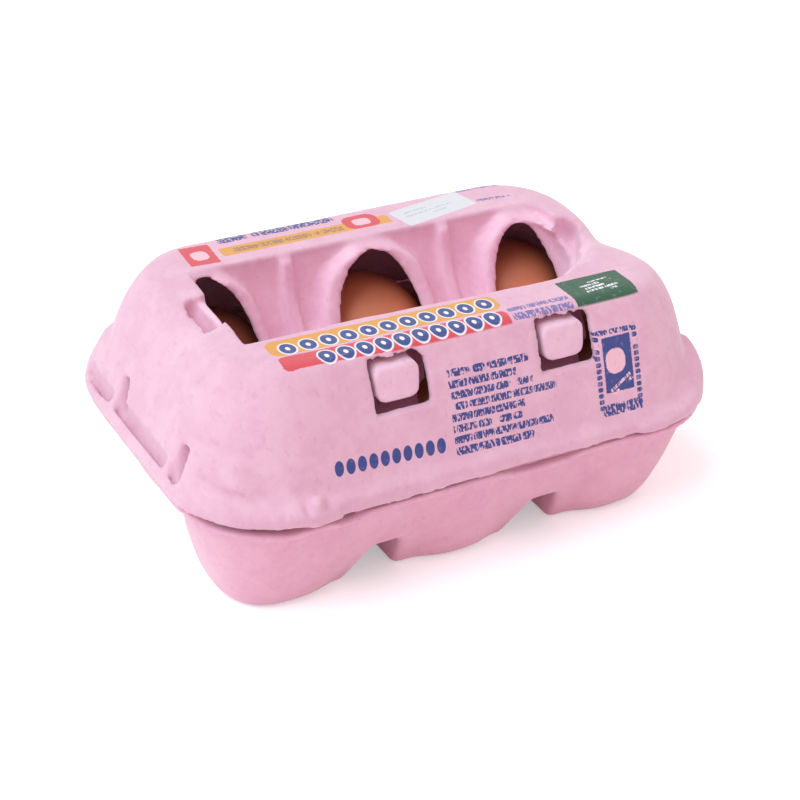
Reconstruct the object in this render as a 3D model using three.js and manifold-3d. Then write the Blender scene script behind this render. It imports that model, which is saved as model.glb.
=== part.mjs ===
// A moulded pulp carton for six eggs, closed, with three windows along each side of the valley
// in its lid, and the six eggs that stand in its tray.
// Millimetres, +Z up. X runs along the length and Y from the lock at the front to the hinge at
// the back. The origin is the middle of the face that the carton stands on.

import * as THREE from 'three';
import { mergeVertices } from 'three/addons/utils/BufferGeometryUtils.js';
import Module from 'manifold-3d';

const wasm = await Module();
wasm.setup();

// Driving sizes of the whole carton
const CELL = 48.5; // spacing of the cells along the length
const ROW = 24.8; // distance of each row of cells from the middle plane
const WALL = 1.9; // thickness of the pulp
const GAP = 0.4; // clearance between pieces that lie against each other
const RIM_Z = 32.1; // top of the tray's rim, where the lid rests
const TOP_Z = 66.1; // flat ridges of the lid
const LIP = { a: 78.6, b: 53.3, r: 28.4 }; // outline of the lid's rim: half sizes, corner radius
const TRAY_LIP = { a: 77.6, b: 52.4, r: 27.6 }; // outline of the tray's rim
const LOCK_HALF = 44; // half length of the front stretch where the lock flap folds in
const LOCK_INSET = 1.2; // how far both rims stand back along that stretch

// Resolution of the outlines and of the windows
const CORNER_STEPS = 6;
const LONG_STEPS = 3;
const ARCH_STEPS = 10;

const clamp = (v, low, high) => Math.min(high, Math.max(low, v));
const mix = (from, to, t) => from + (to - from) * t;
const smooth = (low, high, v) => {
  const t = clamp((v - low) / (high - low), 0, 1);
  return t * t * (3 - 2 * t);
};

// A value read from a short run of [position, value] knots, straight between them.
function along(knots, at) {
  const last = knots.length - 1;
  if (at <= knots[0][0]) return knots[0][1];
  for (let i = 1; i <= last; i += 1) {
    const [p0, v0] = knots[i - 1];
    const [p1, v1] = knots[i];
    if (at <= p1) return mix(v0, v1, (at - p0) / (p1 - p0));
  }
  return knots[last][1];
}

// ---- Closed meshes from outlines, and their joins and cuts ----

const SAME_LENGTH = 1e-3; // two diagonals closer than this count as equal

// A closed surface through outlines of equal point count; flat(p) maps an end onto its plane.
// Each four-sided patch is folded along its shorter diagonal.
function loft(outlines, flat) {
  const count = outlines[0].length;
  const points = outlines.flat().map((p) => new THREE.Vector3(...p));
  const index = [];
  for (let i = 1; i < outlines.length; i += 1) {
    for (let j = 0; j < count; j += 1) {
      const next = (j + 1) % count;
      const [a, b] = [(i - 1) * count + j, (i - 1) * count + next];
      const [c, d] = [i * count + j, i * count + next];
      const gain = points[a].distanceTo(points[d]) - points[b].distanceTo(points[c]);
      if (gain > SAME_LENGTH) index.push(a, b, c, b, d, c);
      else index.push(a, b, d, a, d, c);
    }
  }
  const ends = [[0, true], [outlines.length - 1, false]];
  for (const [row, reversed] of ends) {
    const plane = outlines[row].map((p) => new THREE.Vector2(...flat(p)));
    const clockwise = THREE.ShapeUtils.isClockWise(plane);
    for (const face of THREE.ShapeUtils.triangulateShape(plane, [])) {
      const turned = reversed === clockwise ? face : [face[0], face[2], face[1]];
      index.push(...turned.map((k) => row * count + k));
    }
  }
  const geometry = new THREE.BufferGeometry();
  geometry.setAttribute('position', new THREE.Float32BufferAttribute(outlines.flat(2), 3));
  geometry.setIndex(index);
  return solid(geometry);
}

// A three.js geometry as a solid, its faces turned outwards.
function solid(source) {
  const bare = source.clone();
  bare.deleteAttribute('normal');
  bare.deleteAttribute('uv');
  const merged = mergeVertices(bare, 1e-4);
  const position = merged.getAttribute('position');
  const index = Array.from(merged.index.array);
  const [a, b, c] = [new THREE.Vector3(), new THREE.Vector3(), new THREE.Vector3()];
  const kept = [];
  let volume = 0;
  for (let i = 0; i < index.length; i += 3) {
    const [i0, i1, i2] = [index[i], index[i + 1], index[i + 2]];
    if (i0 !== i1 && i1 !== i2 && i2 !== i0) {
      kept.push(i0, i1, i2);
      a.fromBufferAttribute(position, i0);
      b.fromBufferAttribute(position, i1);
      c.fromBufferAttribute(position, i2);
      volume += a.dot(b.cross(c)) / 6;
    }
  }
  if (volume < 0) kept.reverse();
  return new wasm.Manifold(new wasm.Mesh({
    numProp: 3,
    vertProperties: new Float32Array(position.array),
    triVerts: new Uint32Array(kept),
  }));
}

const joined = (solids) => solids.reduce((sum, next) => sum.add(next));
const cutBy = (body, tools) => tools.reduce((left, tool) => left.subtract(tool), body);

const level = ([x, y]) => [x, y];
const across = ([, y, z]) => [y, z];

// A rounded rectangle at one height, with half sizes a and b and corner radius r.
function roundedOutline({ a, b, r, z, x = 0, y = 0 }) {
  const points = [];
  const corners = [[1, 1], [-1, 1], [-1, -1], [1, -1]];
  corners.forEach(([sx, sy], corner) => {
    for (let k = 0; k <= CORNER_STEPS; k += 1) {
      const angle = (corner + k / CORNER_STEPS) * Math.PI / 2;
      const px = x + sx * (a - r) + r * Math.cos(angle);
      points.push([px, y + sy * (b - r) + r * Math.sin(angle), z]);
    }
    if (sx !== sy) return;
    const [, endY] = points[points.length - 1];
    for (let k = 1; k < LONG_STEPS; k += 1) {
      points.push([x + sx * (a - r) * (1 - 2 * k / LONG_STEPS), endY, z]);
    }
  });
  return points;
}

const roundedLoft = (levels) => loft(levels.map(roundedOutline), level);

// A soft square, |x|^p + |y|^p = r^p, at one height.
function softSquare({ r, z, x = 0, y = 0, power = 2.5, steps = 20 }) {
  return Array.from({ length: steps }, (_, k) => {
    const angle = 2 * Math.PI * k / steps;
    const [c, s] = [Math.cos(angle), Math.sin(angle)];
    const reach = r * (Math.abs(c) ** power + Math.abs(s) ** power) ** (-1 / power);
    return [x + reach * c, y + reach * s, z];
  });
}

const softLoft = (levels) => loft(levels.map(softSquare), level);

// A prism along Y from y0 to y1 whose section is given in X and Z.
function prismAlongY(section, y0, y1) {
  const ends = [y0, y1].map((y) => section.map(([x, z]) => [x, y, z]));
  return loft(ends, ([x, , z]) => [x, z]);
}

// A prism along X from x0 to x1 whose section is given in Y and Z.
function prismAlongX(section, x0, x1) {
  return loft([x0, x1].map((x) => section.map(([y, z]) => [x, y, z])), across);
}

const box = (x0, x1, y0, y1, z0, z1) => (
  prismAlongX([[y0, z0], [y1, z0], [y1, z1], [y0, z1]], x0, x1)
);

// ---- The lid's outside, level by level ----

const END_FOOT_Z = 36; // where the end walls stand upright
const END_TOP = 58; // half length of the flat top
const END_SPREAD = 15.6; // how much longer the lid is at its foot
const BODY_CORNER = { top: 12.5, spread: 13.5 }; // corner radius of the flat top, and its growth
const WALL_FOOT = { z: 38, b: 49.0 }; // foot of the straight long walls
const WALL_DRAFT = 0.36; // how fast the long walls lean in, per millimetre up
const SHOULDER_Z = 57; // where the long walls break into the shoulder
const SHOULDER_DRAFT = 0.58;
const CREST_ROUND = 1.5; // height of the rounding under the flat ridges

// Share of the foot's spread that is left at a height: a quarter of an ellipse.
function endShare(z) {
  const rise = (z - END_FOOT_Z) / (TOP_Z - END_FOOT_Z);
  return Math.sqrt(Math.max(0, 1 - rise ** 2));
}

function longHalf(z) {
  const atShoulder = WALL_FOOT.b - WALL_DRAFT * (SHOULDER_Z - WALL_FOOT.z);
  if (z <= SHOULDER_Z) return WALL_FOOT.b - WALL_DRAFT * (z - WALL_FOOT.z);
  const crest = TOP_Z - CREST_ROUND;
  const slope = atShoulder - SHOULDER_DRAFT * (Math.min(z, crest) - SHOULDER_Z);
  return slope - CREST_ROUND * (1 - Math.sqrt(1 - (Math.max(0, z - crest) / CREST_ROUND) ** 2));
}

const bodyLevel = (z) => ({
  a: END_TOP + END_SPREAD * endShare(z),
  b: longHalf(z),
  r: BODY_CORNER.top + BODY_CORNER.spread * endShare(z),
  z,
});

const LIP_HEIGHT = 2.5;
const LID_Z = RIM_Z + GAP;
const FLARE = { out: 2.6, z: 37 }; // the rim's flare above the lip
const BODY_HEIGHTS = [39.5, 44, 50, SHOULDER_Z, 61, TOP_Z - CREST_ROUND, TOP_Z - 0.5, TOP_Z];
const CUT_PAST = 4; // how far a cut or an air space runs past the face that it opens

const lidLevels = [
  { ...LIP, z: LID_Z },
  { ...LIP, z: LID_Z + LIP_HEIGHT },
  {
    a: bodyLevel(FLARE.z).a + FLARE.out,
    b: longHalf(FLARE.z) + FLARE.out / 2,
    r: LIP.r - 1,
    z: FLARE.z,
  },
  ...BODY_HEIGHTS.map(bodyLevel),
];

// The same levels moved inwards, square to the wall, by the thickness of the pulp.
function insetLevels(levels, depth) {
  return levels.map((here, i) => {
    const below = levels[Math.max(0, i - 1)];
    const above = levels[Math.min(levels.length - 1, i + 1)];
    const [run, rise] = [above.b - below.b, above.z - below.z];
    const length = Math.hypot(run, rise);
    const side = i === 0 ? 1 : rise / length;
    const drop = i === 0 ? 0 : -run / length;
    return {
      a: here.a - depth * side,
      b: here.b - depth * side,
      r: here.r - depth * side,
      z: here.z - depth * Math.max(drop, i === levels.length - 1 ? 1 : 0),
    };
  });
}

// ---- The valley between the two ridges ----

const RIDGE_INNER = 20.4; // inner edge of each ridge, from the middle plane
const FLOOR_Z = 41; // floor of the valley
const VALLEY_END = 56; // half length of the valley
const LEDGE_Z = TOP_Z - 0.5; // the hoods' tops, just under the ridges
const RIB = { depth: 1.8, top: 2.2, foot: 5 }; // buttress between two windows
const SILL = 3.9; // half width of the floor strip between facing windows
const WINDOW_FOOT = 38; // the windows are open down past the floor
const WINDOWS = [
  { x: -46, half: 10.4, apex: 63.4, inner: 12.4 },
  { x: 0, half: 13.6, apex: 63.8, inner: 15.7 },
  { x: 46, half: 10.4, apex: 63.4, inner: 12.4 },
];

const ARCH_POWER = 1.9; // just under an ellipse's 2, for a slightly pointed arch
const HOOD_FLANK = [1.25, 2.6]; // reaches between which a hood falls back to the plain wall
const HOOD_FOOT = 4.5; // half width between two facing hoods at the floor
const END_TAPER = 4; // length over which the valley narrows at each end

// Half widths of the valley at a height: between its plain walls, and at its ends.
const PANEL_KNOTS = [
  [FLOOR_Z, 8.5], [45, 12.5], [50, 16], [55, 18.2], [62, 19.8], [TOP_Z, RIDGE_INNER],
];
const END_KNOTS = [[FLOOR_Z, 2.4], [47, 3.6], [55, 8], [LEDGE_Z, 11.5]];

// Half width between two facing hoods, whose top edges stand at inner.
function hoodHalf(z, inner) {
  const knots = [[FLOOR_Z, 0], [50, 0.5], [59, 0.87], [LEDGE_Z, 1]];
  return mix(HOOD_FOOT, inner, along(knots, z));
}

const archShare = ({ apex }, z) => clamp((z - FLOOR_Z) / (apex - FLOOR_Z), 0, Infinity) ** ARCH_POWER;

const archHalf = (window, z) => window.half * Math.sqrt(1 - Math.min(1, archShare(window, z)));

// How far out of a window's arch a point lies, 1 on its edge.
const archReach = (window, x, z) => ((x - window.x) / window.half) ** 2 + archShare(window, z);

function valleyHalf(x, z) {
  if (z >= TOP_Z) return RIDGE_INNER;
  const ribX = CELL / 2;
  const ribWidth = mix(RIB.foot, RIB.top, (z - FLOOR_Z) / (TOP_Z - FLOOR_Z));
  const rib = RIB.depth * Math.max(0, 1 - Math.abs(Math.abs(x) - ribX) / ribWidth);
  let half = along(PANEL_KNOTS, z) - rib;
  for (const window of WINDOWS) {
    const cover = 1 - smooth(...HOOD_FLANK, archReach(window, x, z));
    half = mix(half, Math.min(half, hoodHalf(z, window.inner)), cover);
  }
  const ending = smooth(VALLEY_END - END_TAPER, VALLEY_END, Math.abs(x));
  return mix(half, Math.min(half, along(END_KNOTS, z)), ending);
}

const VALLEY_HEIGHTS = [FLOOR_Z, 45, 49, 53, 56.5, 59.5, 62, 64, LEDGE_Z, TOP_Z];
const HALF_STATIONS = [
  0, 5, 9, 12, 14, 16, 18, 20, 22.4, CELL / 2,
  26.1, 28.4, 30.6, 32.6, 34.6, 37, 41, 46, 51, VALLEY_END,
];
const STATIONS = [...HALF_STATIONS.slice(1).reverse().map((x) => -x), ...HALF_STATIONS];

const LEAN_GAIN = 1.1; // how much wider a leaning wall measures along Y than square to itself

// The air in the valley; grown moves its faces out by that much, for the wall's other side.
function valleyAir(grown) {
  const above = TOP_Z + CUT_PAST;
  const lean = grown * LEAN_GAIN;
  const side = (x) => VALLEY_HEIGHTS.map((z) => (
    [valleyHalf(x, z) + (z < TOP_Z ? lean : grown), z - (z < LEDGE_Z ? grown : 0)]
  ));
  const outlines = STATIONS.map((x) => {
    const right = [...side(x), [RIDGE_INNER + grown, above]];
    const left = [...right].reverse().map(([y, z]) => [-y, z]);
    const ended = Math.abs(x) === VALLEY_END ? x + Math.sign(x) * grown : x;
    return [...right, ...left].map(([y, z]) => [ended, y, z]);
  });
  return loft(outlines, across);
}

// The scoop at each end of the valley: a trough whose floor climbs to the end deck.
const SCOOP = { half: 7.2, from: 50, to: 59.4, floor: 56.5, round: 4, tuck: 2, tuckHigher: 0.8 };

function scoopAir(side, grown) {
  const levels = [
    { z: SCOOP.floor - grown, tuck: SCOOP.tuck },
    { z: SCOOP.floor + SCOOP.round, tuck: SCOOP.tuckHigher },
    { z: TOP_Z + CUT_PAST, tuck: 0 },
  ];
  const [middle, reach] = [(SCOOP.from + SCOOP.to) / 2, (SCOOP.to - SCOOP.from) / 2];
  return roundedLoft(levels.map(({ z, tuck }) => ({
    a: reach + grown - tuck,
    b: SCOOP.half + grown - tuck,
    r: SCOOP.round + grown - tuck,
    x: side * middle,
    z,
  })));
}

// One window, cut through the wall on one side of the valley.
function windowCut(window, side) {
  const edge = Array.from({ length: ARCH_STEPS + 1 }, (_, k) => {
    const angle = Math.PI * k / ARCH_STEPS;
    const z = FLOOR_Z + (window.apex - FLOOR_Z) * Math.sin(angle);
    return [window.x + Math.sign(Math.cos(angle)) * archHalf(window, z), z];
  });
  edge[ARCH_STEPS / 2] = [window.x, window.apex];
  const foot = [[window.x - window.half, WINDOW_FOOT], [window.x + window.half, WINDOW_FOOT]];
  return prismAlongY([...edge, ...foot], side * SILL, side * (RIDGE_INNER + WALL + GAP));
}

// ---- The lid ----

const LATCH = { x: CELL / 2, half: 7.7, bottom: 52.6, top: 63.9, chamfer: 1.6 };

function latchCut(side) {
  const { half, bottom, top, chamfer } = LATCH;
  const x = side * LATCH.x;
  const section = [
    [x - half, bottom], [x + half, bottom], [x + half, top - chamfer],
    [x + half - chamfer, top], [x - half, top],
  ];
  return prismAlongY(section, -LIP.b - CUT_PAST, -RIDGE_INNER - WALL - CUT_PAST);
}

function makeLid() {
  const outside = roundedLoft(lidLevels);
  const inside = roundedLoft([
    { ...insetLevels(lidLevels, WALL)[0], z: LID_Z - CUT_PAST },
    ...insetLevels(lidLevels, WALL),
  ]);
  const scoops = (grown) => [-1, 1].map((side) => scoopAir(side, grown));
  const shell = cutBy(outside, [valleyAir(0), ...scoops(0)]);
  const hollow = cutBy(inside, [valleyAir(WALL), ...scoops(WALL)]);
  const windows = WINDOWS.flatMap((window) => [-1, 1].map((side) => windowCut(window, side)));
  const lockFront = -LIP.b + LOCK_INSET;
  const lockFoot = LID_Z - CUT_PAST;
  const lockRecess = box(-LOCK_HALF, LOCK_HALF, -LIP.b - CUT_PAST, lockFront, lockFoot, FLARE.z + 1);
  return cutBy(shell.subtract(hollow), [...windows, latchCut(-1), latchCut(1), lockRecess]);
}

// ---- The tray ----

const STAGGER = 2.4; // how far the feet of a row stand off their cells, each row its own way
const CUP_OUTSIDE = [[0, 14.7], [1.2, 15.8], [6, 18.3], [13, 20.6], [24, 23.2], [RIM_Z - WALL, 24.5]];
const CUP_INSIDE = [[WALL, 12.4], [6, 16.2], [13, 18.6], [24, 21.4], [RIM_Z + 1, 23]];
const SADDLE_Z = 25; // the walls between two cells end here
const FLANGE_Z = RIM_Z - WALL;
const NOTCH_TOP = 11.6; // height of the gaps between the feet, in the outer walls
const GAP_TOP = SADDLE_Z - WALL; // height of those gaps further in, under the saddles
const POST = { foot: 10.5, waist: 7, top: 4.4, waistZ: 31.5, topZ: FLOOR_Z - WALL - 0.7 };
const POST_MOUTH = 3; // how much wider the hollow under a post is at the tray's foot
const OPENING = { low: { a: 68, b: 44, r: 22 }, high: { a: 70.8, b: 46.9, r: 23.6 } };

// Sections of the gaps between the feet. Those between two columns lean, and their inner ends
// stop short of the carton's long sides.
const COLUMN_MOUTH = [[-12, -1], [-5.2, NOTCH_TOP], [2.6, NOTCH_TOP], [3.4, -1]];
const COLUMN_INNER = [[-6, 5], [-3.2, GAP_TOP], [2.4, GAP_TOP], [2.8, 5]];
const COLUMN_REACH = 38.5;
const ROW_MOUTH = [[-7.6, -1], [7.6, -1], [4.2, NOTCH_TOP], [-4.2, NOTCH_TOP]];
const ROW_INNER = [[-4.4, 5], [4.4, 5], [3, GAP_TOP], [-3, GAP_TOP]];
const ROW_REACH = CELL + 14;

const CELLS = [-1, 1].flatMap((row) => [-1, 0, 1].map((column) => ({ row, column })));

const cellLevel = ({ row, column }) => ([z, r]) => ({
  r,
  z,
  x: column * CELL + row * STAGGER * (1 - z / RIM_Z),
  y: row * ROW,
});

// The webs that close the outer walls between the cups, standing a little back from them.
const WEB_LEVELS = [
  { a: 60, b: 37.2, r: 17, z: 0 },
  { a: 64, b: 42.4, r: 20.5, z: 12 },
  { a: 72, b: 48.2, r: 25, z: FLANGE_Z },
];

// The gap under the tray between two columns of cells; row says which half of the tray.
function columnGap(side, row) {
  const turned = (section) => section.map(([u, z]) => [side * CELL / 2 - row * u, z]);
  const mouth = prismAlongY(turned(COLUMN_MOUTH), 0, row * (LIP.b + CUT_PAST));
  return mouth.add(prismAlongY(turned(COLUMN_INNER), 0, row * COLUMN_REACH));
}

// The gap under the tray between its two rows of cells.
function rowGap() {
  const mouth = prismAlongX(ROW_MOUTH, -LIP.a - CUT_PAST, LIP.a + CUT_PAST);
  return mouth.add(prismAlongX(ROW_INNER, -ROW_REACH, ROW_REACH));
}

const postLoft = (side, levels) => (
  softLoft(levels.map(([z, r]) => ({ r, z, x: side * CELL / 2, steps: 12 })))
);

const post = (side) => postLoft(side, [
  [SADDLE_Z - 1, POST.foot],
  [POST.waistZ, POST.waist],
  [POST.topZ, POST.top],
]);

const postHollow = (side) => postLoft(side, [
  [-1, POST.foot + POST_MOUTH],
  [SADDLE_Z - WALL - 1, POST.foot - WALL],
  [POST.waistZ - 1, POST.waist - WALL],
  [POST.topZ - WALL, POST.top - WALL],
]);

function makeTray() {
  const cupsOutside = CELLS.map((cell) => softLoft(CUP_OUTSIDE.map(cellLevel(cell))));
  const cupsInside = CELLS.map((cell) => softLoft(CUP_INSIDE.map(cellLevel(cell))));
  const flange = roundedLoft([{ ...TRAY_LIP, z: FLANGE_Z }, { ...TRAY_LIP, z: RIM_Z }]);
  const posts = [-1, 1].map(post);
  const postHollows = [-1, 1].map(postHollow);
  const columnGaps = [-1, 1].flatMap((side) => [-1, 1].map((row) => columnGap(side, row)));
  const underneath = joined([...columnGaps, rowGap(), ...postHollows]);
  const opening = roundedLoft([
    { ...OPENING.low, z: SADDLE_Z },
    { ...OPENING.high, z: RIM_Z + 1 },
  ]);
  const air = joined([...cupsInside, opening]).subtract(joined(posts));
  const block = joined([roundedLoft(WEB_LEVELS), flange, ...cupsOutside, ...posts]);
  const lockFront = -TRAY_LIP.b + LOCK_INSET;
  const lockFoot = FLANGE_Z - 1;
  const lockRecess = box(-LOCK_HALF, LOCK_HALF, -LIP.b - CUT_PAST, lockFront, lockFoot, RIM_Z + 1);
  return cutBy(block, [underneath, air, lockRecess]);
}

// ---- The lock flap: a strip on the tray's front rim with two tall tongues ----

const FLAP_WALL = 1.5;
const FLAP = { foot: { y: -48.2, z: RIM_Z + GAP }, top: { y: -36.4, z: 62.8 } };
const FLAP_STRIP = 35.6; // height of the strip between and beside the tongues
const FLAP_HALF = { foot: 40, top: 38 };
const TONGUE = { foot: 10.2, shoulder: 9.8, crown: 7.2, drop: 2.5 }; // half widths and crown height
const PAD = { half: 6.9, narrow: 6.1, bottom: 54.2, top: 61.6, spread: 1.08 };
const PAD_FACE = [-40.95, -39.2]; // Y of the pads' faces at their bottom and top edges

function flapY(z) {
  const share = (z - FLAP.foot.z) / (FLAP.top.z - FLAP.foot.z);
  return mix(FLAP.foot.y, FLAP.top.y, share);
}

// One half of the flap's outline, from the tip of the strip in over the tongue to the middle.
const FLAP_EDGE = [
  [FLAP_HALF.foot, FLAP.foot.z],
  [FLAP_HALF.top, FLAP_STRIP],
  [LATCH.x + TONGUE.foot, FLAP_STRIP],
  [LATCH.x + TONGUE.shoulder, FLAP.top.z - TONGUE.drop],
  [LATCH.x + TONGUE.crown, FLAP.top.z],
  [LATCH.x - TONGUE.crown, FLAP.top.z],
  [LATCH.x - TONGUE.shoulder, FLAP.top.z - TONGUE.drop],
  [LATCH.x - TONGUE.foot, FLAP_STRIP],
];

// The raised pad on a tongue, which shows in the latch hole.
function pad(side) {
  const x = side * LATCH.x;
  const face = [
    [-PAD.narrow, PAD_FACE[0], PAD.bottom], [PAD.narrow, PAD_FACE[0], PAD.bottom],
    [PAD.half, PAD_FACE[1], PAD.top], [-PAD.half, PAD_FACE[1], PAD.top],
  ];
  const outer = face.map(([u, y, z]) => [x + u, y, z]);
  const inner = face.map(([u, , z]) => [x + u * PAD.spread, flapY(z) + FLAP_WALL / 2, z]);
  return loft([outer, inner], ([px, , z]) => [px, z]);
}

function makeFlap() {
  const outline = [...FLAP_EDGE, ...[...FLAP_EDGE].reverse().map(([x, z]) => [-x, z])];
  const face = (depth) => outline.map(([x, z]) => [x, flapY(z) + depth, z]);
  const sheet = loft([face(0), face(FLAP_WALL)], ([x, , z]) => [x, z]);
  return joined([sheet, pad(-1), pad(1)]);
}

// ---- The eggs ----

const EGG = { length: 49, radius: 19.8, taper: 0.11 };
const EGG_STEPS = { along: 11, around: 16 };
const EGG_FOOT = WALL + GAP;
const EGG_ROW = 23.9; // distance of each row of eggs from the middle plane
const EGG_SHIFT = 1.2; // how far each row of eggs stands off its cells, like the feet

// Radius = R sin t (1 - k cos t) and height = L (1 - cos t) / 2, blunt end up.
function eggGeometry() {
  const { along: steps, around } = EGG_STEPS;
  const profile = Array.from({ length: steps + 1 }, (_, i) => {
    const t = Math.PI * i / steps;
    const radius = EGG.radius * Math.sin(t) * (1 - EGG.taper * Math.cos(t));
    return new THREE.Vector2(i % steps ? radius : 0, EGG.length * (1 - Math.cos(t)) / 2);
  });
  return new THREE.LatheGeometry(profile, around).rotateX(Math.PI / 2);
}

// ---- The scene graph ----

const pulp = () => new THREE.MeshStandardMaterial({ color: 0xe9afcf, roughness: 0.95, metalness: 0 });
const shell = () => new THREE.MeshStandardMaterial({ color: 0xb8714a, roughness: 0.55, metalness: 0 });

function geometryOf(body) {
  const { vertProperties, triVerts } = body.getMesh();
  const geometry = new THREE.BufferGeometry();
  geometry.setAttribute('position', new THREE.Float32BufferAttribute(vertProperties, 3));
  geometry.setIndex(Array.from(triVerts));
  geometry.computeVertexNormals();
  return geometry;
}

function named(name, geometry, material) {
  const mesh = new THREE.Mesh(geometry, material);
  mesh.name = name;
  return mesh;
}

const carton = new THREE.Group();
carton.add(named('tray', geometryOf(makeTray()), pulp()));
carton.add(named('lid', geometryOf(makeLid()), pulp()));
carton.add(named('lock_flap', geometryOf(makeFlap()), pulp()));

const rowNames = { '-1': 'front', 1: 'back' };
const columnNames = { '-1': 'left', 0: 'middle', 1: 'right' };
for (const { row, column } of CELLS) {
  const name = `egg_${rowNames[row]}_${columnNames[column]}`;
  const egg = named(name, geometryOf(solid(eggGeometry())), shell());
  egg.position.set(column * CELL + row * EGG_SHIFT, row * EGG_ROW, EGG_FOOT);
  carton.add(egg);
}

export default carton;
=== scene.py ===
"""A closed moulded pulp carton for six eggs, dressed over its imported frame.

Every size in the classes is in millimetres, in the frame's own axes: X along the carton's
length, Y from the lock at the front to the hinge at the back, Z up from the feet.
"""

import logging
import math
from collections.abc import Sequence
from dataclasses import asdict, dataclass, field
from enum import Enum

import bpy
import numpy as np
from mathutils import Matrix, Vector


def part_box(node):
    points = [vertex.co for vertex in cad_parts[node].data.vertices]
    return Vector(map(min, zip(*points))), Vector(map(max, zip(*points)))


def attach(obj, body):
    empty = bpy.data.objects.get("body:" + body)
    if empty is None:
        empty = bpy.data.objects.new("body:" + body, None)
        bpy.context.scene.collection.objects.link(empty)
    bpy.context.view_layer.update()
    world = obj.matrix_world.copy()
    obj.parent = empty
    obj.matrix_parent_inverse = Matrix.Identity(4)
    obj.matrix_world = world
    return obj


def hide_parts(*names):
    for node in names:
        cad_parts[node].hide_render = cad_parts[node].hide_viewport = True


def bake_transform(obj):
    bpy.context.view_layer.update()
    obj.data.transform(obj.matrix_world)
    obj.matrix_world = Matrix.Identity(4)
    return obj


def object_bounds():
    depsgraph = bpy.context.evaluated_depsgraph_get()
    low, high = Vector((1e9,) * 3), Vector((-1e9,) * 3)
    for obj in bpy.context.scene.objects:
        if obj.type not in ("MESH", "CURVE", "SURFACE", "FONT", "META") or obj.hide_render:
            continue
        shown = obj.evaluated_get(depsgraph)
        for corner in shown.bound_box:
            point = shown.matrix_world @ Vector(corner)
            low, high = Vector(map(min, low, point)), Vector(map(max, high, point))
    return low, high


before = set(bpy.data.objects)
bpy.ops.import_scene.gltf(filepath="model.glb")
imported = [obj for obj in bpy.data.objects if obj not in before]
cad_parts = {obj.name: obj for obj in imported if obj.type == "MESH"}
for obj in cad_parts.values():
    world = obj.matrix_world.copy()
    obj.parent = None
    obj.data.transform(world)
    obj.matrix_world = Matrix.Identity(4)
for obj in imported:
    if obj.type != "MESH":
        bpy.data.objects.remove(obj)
CAD_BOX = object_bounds()

MM = 0.001
OUTER_SKIN = "outer_skin"
EGG_TONE_AND_SHADE = "egg_tone_and_shade"
# painted shade: a point attribute that darkens the pulp's colour in recesses where shade falls, namely
# the lid's marks near its ends and the hollows behind the flap's pads
PAINTED_SHADE = "pressed"

Array = np.ndarray
Colour = tuple[float, float, float]
Band = tuple[float, float, float]

log = logging.getLogger("egg_carton")


class Body(Enum):
    """The rigid bodies of the carton."""

    BASE = "base"
    LID = "lid"
    FLAP = "flap"


class Slot(Enum):
    """The record's material slots."""

    PULP = "pulp"
    EGGSHELL = "eggshell"


class Plane(Enum):
    """The flat stretches of the lid that carry print: its ridges and its front wall."""

    TOP = "top"
    FRONT = "front"


# ---- Fields: distances in millimetres, below zero inside ----


def smoothstep(low: float, high: float, value: Array) -> Array:
    """Rises from 0 at low to 1 at high as t*t*(3 - 2*t)."""
    share = np.clip((value - low) / (high - low), 0, 1)
    return share * share * (3 - 2 * share)


def within(value: Array, start: float, full: float, fade: float, end: float) -> Array:
    """Rises smoothly from 0 at start to 1 at full, and falls back from fade to end."""
    return smoothstep(start, full, value) * smoothstep(end, fade, value)


def bell(value: Array, middle: float, width: float, power: int = 2) -> Array:
    """A bump of height 1: exp(-d^power), d the distance from its middle in its own widths."""
    return np.exp(-(((value - middle) / width) ** power))


def blank(*places: Array) -> Array:
    """Zeros over the whole block of space that some positions span."""
    return np.zeros(np.broadcast(*places).shape)


def rounded_rectangle(x: Array, y: Array, a: Array, b: Array, r: Array) -> Array:
    """Distance to a rectangle with rounded corners.

    With q = |p| - (half - r), the distance is |max(q, 0)| + min(max(qx, qy), 0) - r.

    Args:
        x: Positions along X, from the rectangle's middle.
        y: Positions along Y, from the rectangle's middle.
        a: Half size along X.
        b: Half size along Y.
        r: Corner radius.

    Returns:
        The distance at each position.
    """
    qx = np.abs(x) - (a - r)
    qy = np.abs(y) - (b - r)
    outer = np.hypot(np.maximum(qx, 0), np.maximum(qy, 0))
    return outer + np.minimum(np.maximum(qx, qy), 0) - r


def both(first: Array, second: Array, rounding: float) -> Array:
    """What lies in two solids, its new edge rounded.

    The larger of two fields, raised by k*h*h/4 where h = max(k - |f - g|, 0)/k.

    Args:
        first: The first solid's field.
        second: The second solid's field.
        rounding: Width k over which the two blend.

    Returns:
        The field of the common part.
    """
    share = np.maximum(rounding - np.abs(first - second), 0) / rounding
    return np.maximum(first, second) + share * share * rounding / 4


def either(first: Array, second: Array, rounding: float) -> Array:
    """What lies in one of two solids or in both, its new corner filled with a fillet."""
    return -both(-first, -second, rounding)


def without(body: Array, tool: Array, rounding: float) -> Array:
    """A solid cut by a tool, with the edge of the cut rounded."""
    return both(body, -tool, rounding)


def convex_section(u: Array, w: Array, corners: Sequence[tuple[float, float]]) -> Array:
    """Distance to a convex polygon: the largest of the distances to its edges' lines.

    Args:
        u: First coordinate of the positions.
        w: Second coordinate of the positions.
        corners: The polygon's corners, anticlockwise.

    Returns:
        The distance at each position, exact beside the edges.
    """
    result = np.full(np.broadcast(u, w).shape, -np.inf)
    for (u0, w0), (u1, w1) in zip(corners, [*corners[1:], corners[0]]):
        length = math.hypot(u1 - u0, w1 - w0)
        side = ((w1 - w0) * (u - u0) - (u1 - u0) * (w - w0)) / length
        result = np.maximum(result, side)
    return result


def true_scale(values: Array, lines: Sequence[Array]) -> Array:
    """A gridded field divided by its slope, which makes it a distance near its surface."""
    slope = np.sqrt(sum(part * part for part in np.gradient(values, *lines)))
    return values / np.clip(slope, 0.6, 6.0)


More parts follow.
